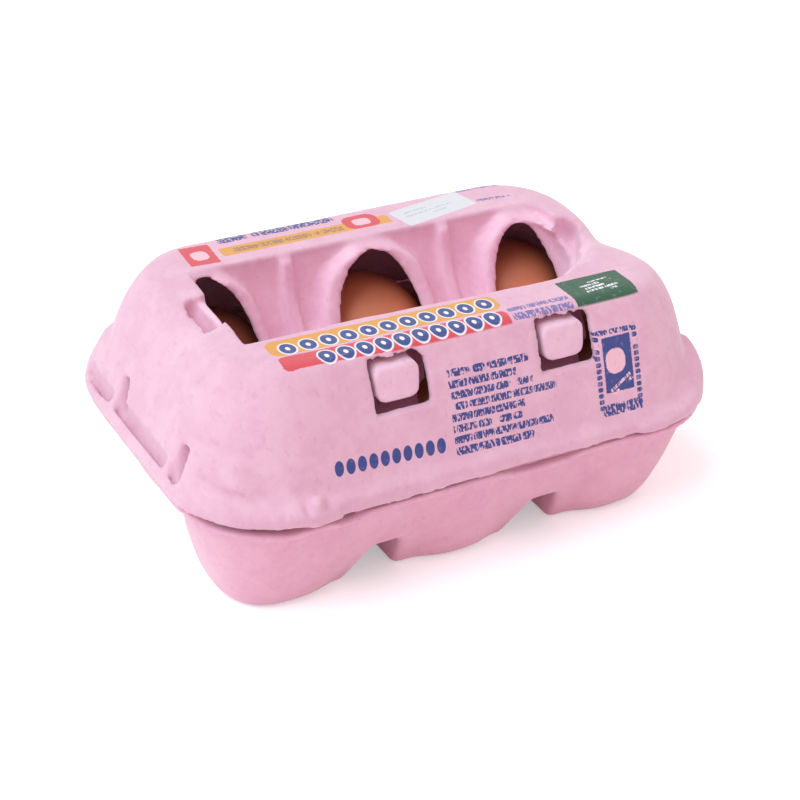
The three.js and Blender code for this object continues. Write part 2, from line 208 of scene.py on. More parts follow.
def shifted(values: Array, lines: Sequence[Array], axis: int, distance: float) -> Array:
    """A gridded field read some distance further along one axis, between its grid points."""
    line = lines[axis]
    place = np.interp(line + distance, line, np.arange(len(line)))
    low = np.minimum(place.astype(int), len(line) - 2)
    share = np.expand_dims(place - low, [other for other in range(3) if other != axis])
    return values.take(low, axis) * (1 - share) + values.take(low + 1, axis) * share


def shrunk(values: Array, lines: Sequence[Array], depth: float) -> Array:
    """Field of a solid whose surface is moved in by a depth.

    It is the largest value of the field within the depth: first over a box of half the depth,
    then over a cross of half the depth, which together come near to a ball.

    Args:
        values: The solid's field on a grid of points.
        lines: Positions of the grid's points along each axis.
        depth: How far the surface moves in.

    Returns:
        The smaller solid's field.
    """
    box = values
    for axis in range(3):
        box = np.maximum.reduce([shifted(box, lines, axis, side * depth / 2) for side in (-1, 0, 1)])
    arms = [shifted(box, lines, axis, side * depth / 2) for axis in range(3) for side in (-1, 1)]
    return np.maximum.reduce([box, *arms])


@dataclass
class Unevenness:
    """Smooth random relief, from random values on a cubic lattice.

    Between lattice points the values blend by 3*t*t - 2*t*t*t along each axis.
    """

    seed: int
    count: int = 32
    values: Array = field(init=False)

    def __post_init__(self) -> None:
        """Draws the lattice's values, from -1 to 1."""
        draw = np.random.default_rng(self.seed)
        self.values = draw.uniform(-1, 1, (self.count,) * 3)

    def at(self, x: Array, y: Array, z: Array, pitch: float) -> Array:
        """The relief at some positions, for a lattice of a given pitch.

        Args:
            x: Positions along X.
            y: Positions along Y.
            z: Positions along Z.
            pitch: Distance between lattice points.

        Returns:
            Values from -1 to 1.
        """
        low, share = [], []
        for value in np.broadcast_arrays(x, y, z):
            floor = np.floor(value / pitch)
            rest = value / pitch - floor
            low.append(floor.astype(int) % self.count)
            share.append(rest * rest * (3 - 2 * rest))
        total = np.zeros(low[0].shape)
        for corner in range(8):
            bits = [(corner >> axis) & 1 for axis in range(3)]
            index = tuple((low[a] + bits[a]) % self.count for a in range(3))
            weight = np.ones(total.shape)
            for axis, bit in enumerate(bits):
                weight = weight * (share[axis] if bit else 1 - share[axis])
            total += weight * self.values[index]
        return total


# ---- Meshes ----


@dataclass
class Surface:
    """Points and faces of a mesh, in millimetres."""

    points: Array
    faces: Array


def level_surface(values: Array, lines: Sequence[Array]) -> Surface:
    """The surface where a gridded field is zero, with one point in each cell that it crosses.

    A cell's point is the mean of the places where the field is zero on the cell's edges, and
    each grid edge that the surface crosses gives one four-sided face between its four cells.

    Args:
        values: The field on a grid of points, above zero all round the grid's border.
        lines: Positions of the grid's points along each axis.

    Returns:
        The closed surface, with its faces pointing out.
    """
    cells = tuple(count - 1 for count in values.shape)
    total = np.zeros((*cells, 3))
    hits = np.zeros(cells)
    crossings = []
    for axis in range(3):
        across = [(axis + 1) % 3, (axis + 2) % 3]
        start, end = [slice(None)] * 3, [slice(None)] * 3
        start[axis], end[axis] = slice(None, -1), slice(1, None)
        first, second = values[tuple(start)], values[tuple(end)]
        crossed = (first < 0) != (second < 0)
        share = np.where(crossed, first / np.where(crossed, first - second, 1), 0)
        for bits in ((0, 0), (0, 1), (1, 0), (1, 1)):
            part = [slice(None)] * 3
            for other, bit in zip(across, bits):
                part[other] = slice(bit, cells[other] + bit)
            here = crossed[tuple(part)]
            hits += here
            total[..., axis] += share[tuple(part)]
            for other, bit in zip(across, bits):
                total[..., other] += here * bit
        crossings.append((axis, across, crossed, first < 0))
    active = hits > 0
    number = np.full(cells, -1)
    number[active] = np.arange(active.sum())
    places = np.argwhere(active) + total[active] / hits[active][:, None]
    points = np.stack(
        [np.interp(place, np.arange(len(line)), line) for place, line in zip(places.T, lines)], axis=1
    )
    faces = [_crossing_faces(number, *crossing) for crossing in crossings]
    return Surface(points, np.concatenate(faces))


def _crossing_faces(
    number: Array, axis: int, across: list[int], crossed: Array, leaving: Array
) -> Array:
    """Faces round the grid edges along one axis that the surface crosses.

    Args:
        number: The number of each cell's point.
        axis: The edges' axis.
        across: The two other axes, in right-handed order.
        crossed: Which of the edges the surface crosses.
        leaving: Which of the edges start inside the solid.

    Returns:
        The faces, as rows of four point numbers.
    """
    places = np.argwhere(crossed)
    rows = []
    for bits in ((1, 1), (0, 1), (0, 0), (1, 0)):
        moved = places.copy()
        for other, bit in zip(across, bits):
            moved[:, other] -= bit
        rows.append(number[tuple(moved.T)])
    faces = np.stack(rows, axis=1)
    turned = ~leaving[tuple(places.T)]
    faces[turned] = faces[turned][:, ::-1]
    return faces


def grid_faces(rows: int, columns: int, closed: bool) -> Array:
    """Four-sided faces of a grid of points, numbered row by row.

    Args:
        rows: Number of rows.
        columns: Number of points in a row.
        closed: Whether each row closes on itself.

    Returns:
        The faces, as rows of four point numbers.
    """
    row = np.arange(rows - 1)[:, None] * columns
    column = np.arange(columns if closed else columns - 1)[None, :]
    following = (column + 1) % columns
    corners = [row + column, row + following, row + columns + following, row + columns + column]
    return np.stack([np.broadcast_to(c, corners[0].shape).ravel() for c in corners], axis=1)


def make_piece(name: str, surface: Surface, body: Body | None) -> bpy.types.Object:
    """Makes a smooth-shaded object at the origin, its place in its mesh, kept in the frame's box.

    Args:
        name: The piece's name.
        surface: Its points and faces.
        body: The body that it moves with, or None to leave it attached to no body.

    Returns:
        The new object.
    """
    mesh = bpy.data.meshes.new(name)
    points = np.clip(surface.points, *(np.array(corner) / MM for corner in CAD_BOX))
    count = len(surface.faces)
    sides = surface.faces.shape[1]
    mesh.vertices.add(len(surface.points))
    mesh.vertices.foreach_set("co", (points * MM).astype(np.float32).ravel())
    mesh.loops.add(count * sides)
    mesh.loops.foreach_set("vertex_index", surface.faces.astype(np.int32).ravel())
    mesh.polygons.add(count)
    mesh.polygons.foreach_set("loop_start", np.arange(count, dtype=np.int32) * sides)
    mesh.update(calc_edges=True)
    mesh.validate()
    mesh.shade_smooth()
    piece = bpy.data.objects.new(name, mesh)
    bpy.context.scene.collection.objects.link(piece)
    if body is not None:
        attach(piece, body.value)
    log.info("%s: %d points, %d faces", name, len(mesh.vertices), len(mesh.polygons))
    return piece


def point_attribute(piece: bpy.types.Object, name: str, values: Array) -> None:
    """Stores one number for each point of a piece.

    Args:
        piece: The piece.
        name: The attribute's name.
        values: One value for each point, or one for all.
    """
    attribute = piece.data.attributes.new(name, "FLOAT", "POINT")
    count = len(piece.data.vertices)
    attribute.data.foreach_set("value", np.broadcast_to(values, count).astype(np.float32))


def graded_line(low: float, high: float, step: float, bands: Sequence[Band] = ()) -> Array:
    """Positions along one axis, with a spacing of their own within some bands.

    The spacing passes smoothly from step to each band's own over 3 mm. The positions are where
    the running sum of 1/spacing passes whole numbers.

    Args:
        low: First position.
        high: Last position.
        step: Usual spacing.
        bands: Start, end and spacing of each band.

    Returns:
        The positions.
    """
    place = np.linspace(low, high, 4001)
    spacing = np.full(place.shape, step)
    for start, end, own in bands:
        spacing = spacing + (own - spacing) * within(place, start - 3, start, end, end + 3)
    density = 1 / spacing
    count = np.concatenate([[0], np.cumsum((density[1:] + density[:-1]) / 2 * np.diff(place))])
    return np.interp(np.linspace(0, count[-1], math.ceil(count[-1]) + 1), count, place)


@dataclass
class Grid:
    """A block of space on which a field is worked out."""

    lines: tuple[Array, Array, Array]

    def axes(self) -> list[Array]:
        """Positions of the grid's points along each axis, ready to broadcast."""
        shapes = ((-1, 1, 1), (1, -1, 1), (1, 1, -1))
        return [line.reshape(shape) for line, shape in zip(self.lines, shapes)]

    def surface(self, values: Array) -> Surface:
        """The zero surface of a field worked out on this grid."""
        return level_surface(values, self.lines)

    def read(self, values: Array, points: Array) -> Array:
        """A gridded field's value at the grid point nearest to each position."""
        index = [
            np.rint(np.interp(place, line, np.arange(len(line)))).astype(int)
            for place, line in zip(points.T, self.lines)
        ]
        return values[tuple(index)]


# ---- The carton's shared shape ----


@dataclass
class CartonShape:
    """The driving sizes that the lid, the tray and the lock flap share."""

    cell: float = 48.5
    row: float = 24.8
    wall: float = 2.1
    rim_z: float = 32.1
    top_z: float = 66.1
    gap: float = 0.4
    lid_lip: tuple[float, float, float] = (78.6, 53.3, 28.4)
    tray_lip: tuple[float, float, float] = (77.6, 52.4, 27.6)
    lock_half: float = 44.0
    lock_inset: float = 1.2
    latch_x: float = 24.25
    latches: tuple[tuple[float, float], ...] = ((-22.85, 7.8), (25.75, 8.1))
    lowered: float = 1.5
    relief: Unevenness = field(default_factory=lambda: Unevenness(seed=7))

    @property
    def lid_z(self) -> float:
        """Height of the lid's lower edge."""
        return self.rim_z + self.gap

    def end_half(self, z: Array) -> Array:
        """Half length of the lid: flat top + spread * sqrt(1 - t*t), t the share climbed."""
        share = np.clip((z - 36) / 30.1, 0, 1)
        return 58 + 15.6 * np.sqrt(1 - share**2)

    def side_half(self, z: Array) -> Array:
        """Half width of the lid: a straight wall that leans in more above the shoulder."""
        return 49 - 0.36 * (z - 38) - 0.22 * _softened(z - 57, 2.5)

    def settled(self, y: Array) -> Array:
        """How far the seam of lid and tray lies below its height at the hinge."""
        return self.lowered * smoothstep(44, 14, y)

    def gaping(self, x: Array, y: Array) -> Array:
        """Share by which the tray draws back under the lid, at the left corner and in front."""
        corner = smoothstep(-33, -39, y) * smoothstep(-50, -58, x)
        front = 0.7 * bell(x, 14, 11, 4) + 0.6 * bell(x, -42, 4)
        return corner + front * smoothstep(-44, -50, y)

    def wrinkles(self, x: Array, y: Array, z: Array, depth: float) -> Array:
        """Broad and fine unevenness of moulded pulp, at most about depth either way."""
        broad = self.relief.at(x + 300, y + 300, z + 300, 17.0)
        fine = self.relief.at(x + 100, y + 200, z + 100, 4.6)
        return depth * (0.7 * broad + 0.3 * fine)


def _softened(value: Array, width: float) -> Array:
    """The positive part of a value with its corner rounded: (v + sqrt(v*v + w*w)) / 2."""
    return (value + np.sqrt(value**2 + width**2)) / 2


@dataclass
class Window:
    """One arched window on each side of the valley, in a hood that stands out of the wall."""

    x: float
    half: float
    apex: float
    hood: float
    band: float

    def share(self, z: Array, floor: float) -> Array:
        """Share of the arch climbed at a height, to the power that shapes the arch."""
        return np.clip((z - floor) / (self.apex - floor), 0, None) ** 1.9

    def reach(self, x: Array, z: Array, floor: float) -> Array:
        """How far out of the arch a point lies: ((x - x0)/half)^2 + share, 1 on the edge."""
        return ((x - self.x) / self.half) ** 2 + self.share(z, floor)


@dataclass
class Pocket:
    """A shallow hollow beyond one end of the valley, turned in plan, its floor sloping along it.

    torn is how far its outline strays, and fillet the width of its blend into the valley.
    """

    x: float
    y: float
    floor: float
    half_across: float
    half_along: float
    turn: float
    slope: float
    torn: float
    fillet: float

    def air(self, x: Array, y: Array, z: Array, relief: Unevenness) -> Array:
        """Field of the air in the hollow: a rounded rectangle over a sloping floor.

        Args:
            x: Positions along X.
            y: Positions along Y.
            z: Positions along Z.
            relief: The relief that tears its outline.

        Returns:
            The field.
        """
        off_x, off_y = x - self.x, y - self.y
        across = off_x * math.cos(self.turn) - off_y * math.sin(self.turn)
        along = off_x * math.sin(self.turn) + off_y * math.cos(self.turn)
        outline = rounded_rectangle(across, along, self.half_across, self.half_along, 1.7)
        outline = outline + self.torn * relief.at(x + 10, y, z * 0, 1.9)
        outward = math.copysign(0.3, self.x) * across
        return both(outline, self.floor + self.slope * along - outward - z, 2.0)


# ---- The lid ----


@dataclass
class Lid:
    """The lid: a thin shell with a sunken valley, arched windows and two latch holes."""

    shape: CartonShape
    step: float = 1.07
    fine_x: tuple[Band, ...] = ((-59, -52, 0.8), (-27, -21.5, 0.66), (21.5, 27, 0.66))
    fine_y: tuple[Band, ...] = (
        (-29, -24, 0.75), (-22.5, -19.5, 0.7), (6.5, 12, 0.75), (19.0, 21.5, 0.7), (27, 50, 1.35),
    )
    fine_z: tuple[Band, ...] = ((30.0, 33.0, 0.68), (62.0, 67.0, 0.68))
    roughness: float = 0.2
    # painted shade: how strongly the marks near the ends darken the pulp's colour
    mark_shade: float = 0.22
    floor_z: float = 41.0
    floor_half: float = 8.5
    ridge_inner: float = 20.3
    wall_power: float = 2.2
    hood_power: float = 1.52
    hood_narrowing: float = 0.78
    near_spread: float = 3.2
    valley_end: float = 53.2
    right_x: float = 57.5
    end_curve: float = 0.026
    end_ramp: float = 0.34
    end_lean: float = 2.6
    sill: float = 3.9
    rib_depth: float = 2.3
    hood_foot: float = 4.5
    hood_flank: float = 1.5
    hood_lean: tuple[float, float] = (62.4, 66.3)
    hood_full: float = 63.9
    windows: tuple[Window, ...] = (
        Window(-48.6, 12.3, 64.2, 15.4, 2.4),
        Window(0.2, 13.2, 63.1, 15.9, 3.4),
        Window(46.6, 10.2, 62.5, 15.3, 2.6),
    )
    pockets: tuple[Pocket, ...] = (
        Pocket(-56.8, 0.8, 58.6, 1.9, 8.0, 0.0, 0.28, 0.45, 0.4),
        Pocket(55.3, 3.2, 57.2, 3.1, 6.4, 0.50, 0.24, 0.0, 1.3),
    )
    partition_z: float = 63.7
    latch_low: float = 51.7
    latch_high: float = 63.9
    saddle_depth: float = 2.9
    knob: tuple[float, float, float] = (-50.4, -51.2, 36.5)
    knob_radius: float = 1.85
    cap_z: float = 45.5
    slots: tuple[tuple[float, float], ...] = ((-26.5, 0.25), (9.5, 0.45))
    slot_depth: float = 2.8
    channel_inset: float = 2.6
    channel_depth: float = 1.5
    channel_breaks: tuple[float, ...] = (-21.5, 13.5)
    crease_depth: float = 1.3
    facet_depth: float = 0.8
    scratch_depth: float = 0.45
    nick_depth: float = 0.9
    grit_depth: float = 0.28

    def outside_window(self, window: Window, x: Array, z: Array) -> Array:
        """Rough distance outside a window's arch: (sqrt(reach) - 1) * 0.93 * half."""
        return (np.sqrt(window.reach(x, z, self.floor_z)) - 1) * window.half * 0.93

    def valley_half(self, x: Array, z: Array) -> Array:
        """Half width of the valley.

        The plain wall is foot + (top - foot)*(1 - t^2.2), t the share of the height still to
        climb. A flat-topped rib stands proud of it halfway between windows. Round each window
        the wall steps in to a hood of half width foot + (top - foot)*(1 - t^1.52), which leans
        back to the plain wall under the ridge's edge. Each hood's band narrows upwards.

        Args:
            x: Positions along X.
            z: Positions along Z.

        Returns:
            Distance of the valley's wall from the middle plane.
        """
        top = self.shape.top_z
        left = np.clip((top - z) / (top - self.floor_z), 0, 1)
        plain = self.floor_half + (self.ridge_inner - self.floor_half) * (1 - left**self.wall_power)
        crest = 1.2 + 0.9 * left
        off_crest = np.abs(np.abs(x) - self.shape.cell / 2)
        rib = 1 - smoothstep(crest - 0.2, crest + 1.1, off_crest)
        half = plain - self.rib_depth * rib * smoothstep(0.0, 0.1, left)
        below = np.clip((self.hood_full - z) / (self.hood_full - self.floor_z), 0, 1)
        lean = smoothstep(*self.hood_lean, z)
        for window in self.windows:
            climb = 1 - below**self.hood_power
            hood = self.hood_foot + (window.hood - self.hood_foot) * climb
            hood = hood + (self.ridge_inner - hood) * lean
            away = self.outside_window(window, x, z)
            band = window.band * (1 - self.hood_narrowing * smoothstep(56, 64.5, z))
            cover = 1 - smoothstep(band, band + self.hood_flank, away)
            half = half + cover * np.minimum(hood - half, 0)
        return half

    def right_end(self, y: Array, z: Array) -> Array:
        """Where the valley ends on the right.

        Near the front the end curves in by curve*(4 - y)^2 and slopes like a ramp. Further back
        it leans in over the last window's leg.

        Args:
            y: Positions along Y.
            z: Positions along Z.

        Returns:
            The end's positions along X.
        """
        near = np.maximum(4 - y, 0)
        ramp = self.end_ramp * (self.shape.top_z - z) * smoothstep(10, -8, y)
        lean = self.end_lean * smoothstep(54, 63, z) * smoothstep(-1, 6, y)
        return self.right_x - self.end_curve * near**2 - ramp - lean

    def valley(self, x: Array, y: Array, z: Array, lines: Sequence[Array]) -> Array:
        """Field of the air in the valley and in the pockets beyond its two ends.

        The wall between the valley and the left pocket is cut down to its own height.

        Args:
            x: Positions along X.
            y: Positions along Y.
            z: Positions along Z.
            lines: Positions of the grid's points along each axis.

        Returns:
            The field.
        """
        right = (x > 0).astype(float)
        nearer = smoothstep(-30, 45, x) * smoothstep(2, -4, y) * smoothstep(52, 66, z)
        spread = self.valley_half(x, z) + self.near_spread * nearer
        sides = true_scale(np.abs(y) - spread + blank(x, y, z), lines)
        trough = both(sides, self.floor_z - z, 3.0)
        left_end = self.valley_end - 0.07 * y - 0.05 * (self.shape.top_z - z)
        ending = x - self.right_end(y, z)
        ending = np.where(x > 0, ending / 1.25, -x - left_end)
        trough = both(trough, ending, 1.2 + 6.3 * right)
        for pocket in self.pockets:
            trough = either(trough, pocket.air(x, y, z, self.shape.relief), pocket.fillet)
        left = self.pockets[0]
        opened = np.maximum(np.abs(x - left.x - 3.2) - 2.0, np.abs(y - left.y) - left.half_along + 0.8)
        opened = both(opened, self.partition_z - z, 0.8)
        return either(trough, opened, 0.6)

    def outside(self, x: Array, y: Array, z: Array, lines: Sequence[Array]) -> Array:
        """Field of the lid's outer form, taken as a solid block.

        Args:
            x: Positions along X.
            y: Positions along Y.
            z: Positions along Z.
            lines: Positions of the grid's points along each axis.

        Returns:
            The field, scaled to a distance near the surface.
        """
        shape = self.shape
        length = shape.end_half(z)
        corner = 12.5 + 13.5 * (length - 58) / 15.6
        sides = rounded_rectangle(x, y, length, shape.side_half(z), corner)
        sides = true_scale(sides + 0 * z, lines)
        body = both(sides, z - shape.top_z + 0 * sides, 2.4)
        saddle = smoothstep(52, 60, np.abs(x)) * smoothstep(46, 58, z)
        body = body + self.saddle_depth * saddle * bell(y, -2, 10.5)
        body = either(body, self.flange(x, y, z), 2.4)
        body = body + self.dents(x, y, z)
        off = sum((place - middle) ** 2 for place, middle in zip((x, y, z), self.knob))
        body = either(body, np.sqrt(off) - self.knob_radius, 0.3)
        edge = 0.9 + 3.0 * smoothstep(40, 50, x) * smoothstep(3, -5, y)
        return true_scale(without(body, self.valley(x, y, z, lines), edge), lines)

    def flange(self, x: Array, y: Array, z: Array) -> Array:
        """Field of the rim that stands out round the lid's foot.

        Its top climbs inwards from the lip, gently along the sides and steeply at the ends:
        height = 35.2 + slope * distance inside the lip, up to an arched cap at the ends.

        Args:
            x: Positions along X.
            y: Positions along Y.
            z: Positions along Z.

        Returns:
            The field.
        """
        shape = self.shape
        waves = 0.35 * shape.relief.at(x + 50, y + 50, z * 0 + 50, 9.0)
        rim = rounded_rectangle(x, y, *shape.lid_lip) + np.maximum(waves, 0)
        slope = 0.35 + 1.5 * smoothstep(58, 70, np.abs(x)) + 1.3 * smoothstep(66, 74, x)
        top = (z - 35.2 + slope * rim) / np.sqrt(1 + slope**2)
        right = smoothstep(-20, 20, x)
        cap = z - self.cap_z + right * (0.6 + 0.0045 * (y + 5) ** 2)
        return both(rim, both(top, cap, 1.0 + 2.0 * right), 1.6)

    def dents(self, x: Array, y: Array, z: Array) -> Array:
        """Marks of the mould: two leaning slots and a broken channel at each end.

        Each is its depth times a bell across it, and the marks of handling are added.

        Args:
            x: Positions along X.
            y: Positions along Y.
            z: Positions along Z.

        Returns:
            How far the marks push the surface in.
        """
        inside = -rounded_rectangle(x, y, *self.shape.lid_lip)
        ends = smoothstep(60, 68, np.abs(x))
        total = blank(x, y, z)
        standing = within(z, 35.9, 37.1, 43.7, 44.9)
        half = 1.25 + 0.07 * (z - 37)
        for place, lean in self.slots:
            total += self.slot_depth * ends * standing * bell(y, place + lean * (z - 40), half, 6)
        channel = bell(inside, self.channel_inset, 1.25, 6) * smoothstep(40.5, 38.5, z)
        gaps = 1 - 0.9 * sum(bell(y, place, 1.6, 4) for place in self.channel_breaks)
        total += self.channel_depth * ends * channel * within(y, -28.5, -26.5, 30, 38) * gaps
        return total + self.handling(x, y, z)

    def handling(self, x: Array, y: Array, z: Array) -> Array:
        """Marks of handling near the left end: a crease, a facet, a scratch, a nick and grit.

        Each is its depth times a bell across it, faded out beyond its own stretch.

        Args:
            x: Positions along X.
            y: Positions along Y.
            z: Positions along Z.

        Returns:
            How far the marks push the surface in.
        """
        crease = bell(z, 40.3 - 0.26 * (x + 73.6), 1.25) * within(x, -77, -74, -65, -61)
        crease = crease * smoothstep(-30, -35, y)
        facet = bell(y, -8, 7) * bell(z, 42.5 + 0.25 * (y + 8), 1.6) * smoothstep(-66, -70, x)
        scratch = bell(x, -54.6, 0.6) * within(y, -22, -19, -14, -12) * smoothstep(64, 65, z)
        nick = bell(x, -52.9, 1.0) * bell(z, 35.2, 1.3) * smoothstep(-48, -50, y)
        rough = within(x, -68, -62, -44, -34) * smoothstep(-40, -46, y) * smoothstep(47, 42, z)
        grit = self.shape.relief.at(x + 70, y + 70, z + 70, 2.1)
        worn = self.crease_depth * crease + self.facet_depth * facet + self.scratch_depth * scratch
        return worn + self.nick_depth * nick + self.grit_depth * grit * rough

    def cuts(self, x: Array, y: Array, z: Array) -> Array:
        """Field of everything that is cut right through the lid's wall.

        Args:
            x: Positions along X.
            y: Positions along Y.
            z: Positions along Z.

        Returns:
            The field of the windows, the latch holes and the recess for the lock flap.
        """
        relief = self.shape.relief
        ragged = 0.35 * relief.at(x, y, z, 1.7)
        valley_side = np.maximum(self.sill - np.abs(y), np.abs(y) - self.ridge_inner - 2.3)
        total = blank(x, y, z) + 99.0
        for window in self.windows:
            arch = both(self.outside_window(window, x, z), 38 - z, 1.0)
            ending = np.maximum(x - self.right_end(y, z), -x - self.valley_end) + 0.9
            arch = both(arch, ending, 0.8)
            total = either(total, both(arch, valley_side, 0.8), 0.5)
        torn = 0.45 * relief.at(x * 3, y * 0, z * 0, 2.4)
        for middle, half in self.shape.latches:
            u = x - middle
            outline = convex_section(
                u, z, [
                    (-half, self.latch_low), (half, self.latch_low), (half, self.latch_high - 1.8),
                    (half - 1.8, self.latch_high), (-half, self.latch_high),
                ],
            )
            upper = smoothstep(self.latch_high - 2.5, self.latch_high - 0.5, z)
            hole = both(outline + torn * (0.35 + 0.65 * upper), y + 27, 0.8)
            total = np.minimum(total, hole)
        recess = rounded_rectangle(x, z - 30, self.shape.lock_half, 7.6, 2.0)
        front = -self.shape.lid_lip[1] + self.shape.lock_inset
        recess = both(recess + 0 * y, y - front + 0 * recess, 1.2)
        return either(total + ragged * 0.4, recess, 0.5)

    def foot(self, x: Array, y: Array) -> Array:
        """Height of the lid's lower edge: torn, and lifted where it gapes over the tray."""
        shape = self.shape
        torn = 0.25 * shape.relief.at(x + 20, y + 20, x * 0, 3.1)
        torn = torn + 0.18 * shape.relief.at(x + 40, y + 40, x * 0, 1.1)
        return shape.lid_z - shape.settled(y) + 0.15 + torn + 0.5 * shape.gaping(x, y)

    def build(self) -> bpy.types.Object:
        """Makes the lid's shell from its outer form, its wall's thickness and its cuts."""
        grid = Grid((
            graded_line(-81, 81, self.step, self.fine_x),
            graded_line(-56, 56, self.step, self.fine_y),
            graded_line(28.4, 69, self.step, self.fine_z),
        ))
        x, y, z = grid.axes()
        shape = self.shape
        skin = self.outside(x, y, z, grid.lines) + shape.wrinkles(x, y, z, self.roughness) + 0.05
        shell = both(skin, -shrunk(skin, grid.lines, shape.wall), 0.8)
        shell = both(shell, self.foot(x, y) - z, 0.7)
        shell = without(shell, self.cuts(x, y, z), 0.8)
        surface = grid.surface(shell)
        piece = make_piece("lid_shell", surface, Body.LID)
        depth = grid.read(skin, surface.points)
        point_attribute(piece, OUTER_SKIN, smoothstep(-1.1, -0.6, depth))
        # painted shade: the marks near the ends (slots, channel, crease) darken the pulp's colour by
        # their depth
        marks = self.dents(*surface.points.T) * smoothstep(60, 66, np.abs(surface.points[:, 0]))
        point_attribute(piece, PAINTED_SHADE, self.mark_shade * smoothstep(0.5, 2.2, marks))
        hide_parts("lid")
        return piece


# ---- The tray ----


@dataclass
class Tray:
    """The tray: six cups on staggered feet, posts between them and a rim all round."""

    shape: CartonShape
    step: float = 0.98
    stagger: float = 2.4
    cup_heights: tuple[float, ...] = (-2, 0, 1.2, 3.5, 6, 13, 24, 30.2, 40)
    cup_radii: tuple[float, ...] = (13.0, 14.7, 15.8, 17.2, 18.3, 20.6, 23.2, 24.5, 25.6)
    rim_half: float = 0.95
    post_top: float = 38.4
    column_mouth: tuple[tuple[float, float], ...] = ((-12, -1), (3.4, -1), (2.6, 11.6), (-5.2, 11.6))
    column_inner: tuple[tuple[float, float], ...] = ((-6, 3), (2.8, 3), (2.4, 23.1), (-3.2, 23.1))
    row_mouth: tuple[tuple[float, float], ...] = ((-7.6, -1), (7.6, -1), (4.2, 11.6), (-4.2, 11.6))
    row_inner: tuple[tuple[float, float], ...] = ((-4.4, 3), (4.4, 3), (3, 23.1), (-3, 23.1))

    def cups(self, x: Array, y: Array, z: Array) -> Array:
        """Field of the six cups: soft squares (|u|^2.5 + |v|^2.5)^(1/2.5) = radius(z)."""
        shape = self.shape
        radius = _rounded_profile(z, self.cup_heights, self.cup_radii)
        total = np.full(np.broadcast(x, y, z).shape, 99.0)
        for row in (-1, 1):
            for column in (-1, 0, 1):
                middle = column * shape.cell + row * self.stagger * (1 - z / shape.rim_z)
                u, v = np.abs(x - middle), np.abs(y - row * shape.row)
                reach = (u**2.5 + v**2.5 + 1e-6) ** (1 / 2.5)
                total = either(total, 0.97 * (reach - radius), 1.8)
        return total

    def webs(self, x: Array, y: Array, z: Array) -> Array:
        """Field of the walls that join the cups round the outside."""
        heights = [0, 12, 30.2]
        a = np.interp(z, heights, [60, 64, 72])
        b = np.interp(z, heights, [37.2, 42.4, 48.2])
        r = np.interp(z, heights, [17, 20.5, 25])
        return 0.95 * rounded_rectangle(x, y, a, b, r)

    def underneath(self, x: Array, y: Array, z: Array) -> Array:
        """Field of the gaps between the feet and of the hollows under the two posts.

        Args:
            x: Positions along X.
            y: Positions along Y.
            z: Positions along Z.

        Returns:
            The field of the air under the tray.
        """
        mouth = convex_section(y, z, self.row_mouth)
        inner = convex_section(y, z, self.row_inner)
        inner = both(inner, np.abs(x) - self.shape.cell - 14, 2.0)
        total = either(mouth, inner, 2.5)
        for side in (-1, 1):
            for row in (-1, 1):
                u = (side * self.shape.cell / 2 - x) * row
                beyond = -row * y
                mouth = both(convex_section(u, z, self.column_mouth), beyond, 0.5)
                inner = convex_section(u, z, self.column_inner)
                inner = both(inner, both(beyond, row * y - 38.5, 0.5), 2.0)
                total = either(total, either(mouth, inner, 2.5), 1.5)
            reach = np.hypot(x - side * self.shape.cell / 2, y)
            radius = np.interp(z, [-2, 22.1, 30.5, 36.5], [13.6, 8.6, 5.1, 2.5])
            total = either(total, both(0.93 * (reach - radius), z - 36.5, 2.0), 3.0)
        return total

    def build(self) -> bpy.types.Object:
        """Makes the tray: the sheet that lies over the air beneath, and its rim."""
        shape = self.shape
        grid = Grid((
            graded_line(-80, 80, self.step),
            graded_line(-55, 55, self.step),
            graded_line(-2, 42, self.step, ((28.5, 32.0, 0.6),)),
        ))
        x, y, z = grid.axes()
        block = either(self.cups(x, y, z), self.webs(x, y, z), 2.2)
        block = both(block, -z, 1.6)
        block = without(block, self.underneath(x, y, z), 1.8)
        block = true_scale(block, grid.lines) + shape.wrinkles(x + 500, y, z, 0.2)
        cavity = shrunk(block, grid.lines, shape.wall)
        sheet = both(block, -cavity, 0.8)
        ring = -rounded_rectangle(x, y, 64, 40, 18)
        drawn_in = shape.gaping(x, y)
        rim_z = shape.rim_z - shape.settled(y) - 1.5 * drawn_in
        sheet = both(sheet, -both(rim_z - z, ring, 1.0), 0.9)
        sheet = both(sheet, z - self.post_top, 0.8)
        rim = rounded_rectangle(x, y, *shape.tray_lip) + 0.5 * drawn_in
        rim = both(rim, np.abs(z - rim_z + self.rim_half) - self.rim_half, 0.9)
        rim = both(rim, -cavity, 0.8)
        sheet = either(sheet, rim, 2.0)
        front = -shape.tray_lip[1] + shape.lock_inset
        recess = rounded_rectangle(x, z - 34, shape.lock_half, 5.0, 1.0)
        sheet = without(sheet, both(recess, y - front, 1.0), 0.8)
        piece = make_piece("tray_shell", grid.surface(sheet), Body.BASE)
        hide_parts("tray")
        return piece


def _rounded_profile(z: Array, heights: Sequence[float], sizes: Sequence[float]) -> Array:
    """A size read from knots and averaged over 2 mm up and down, which rounds its corners."""
    shifts = np.linspace(-2.0, 2.0, 9)
    return sum(np.interp(z + shift, heights, sizes) for shift in shifts) / len(shifts)


# ---- The lock flap ----


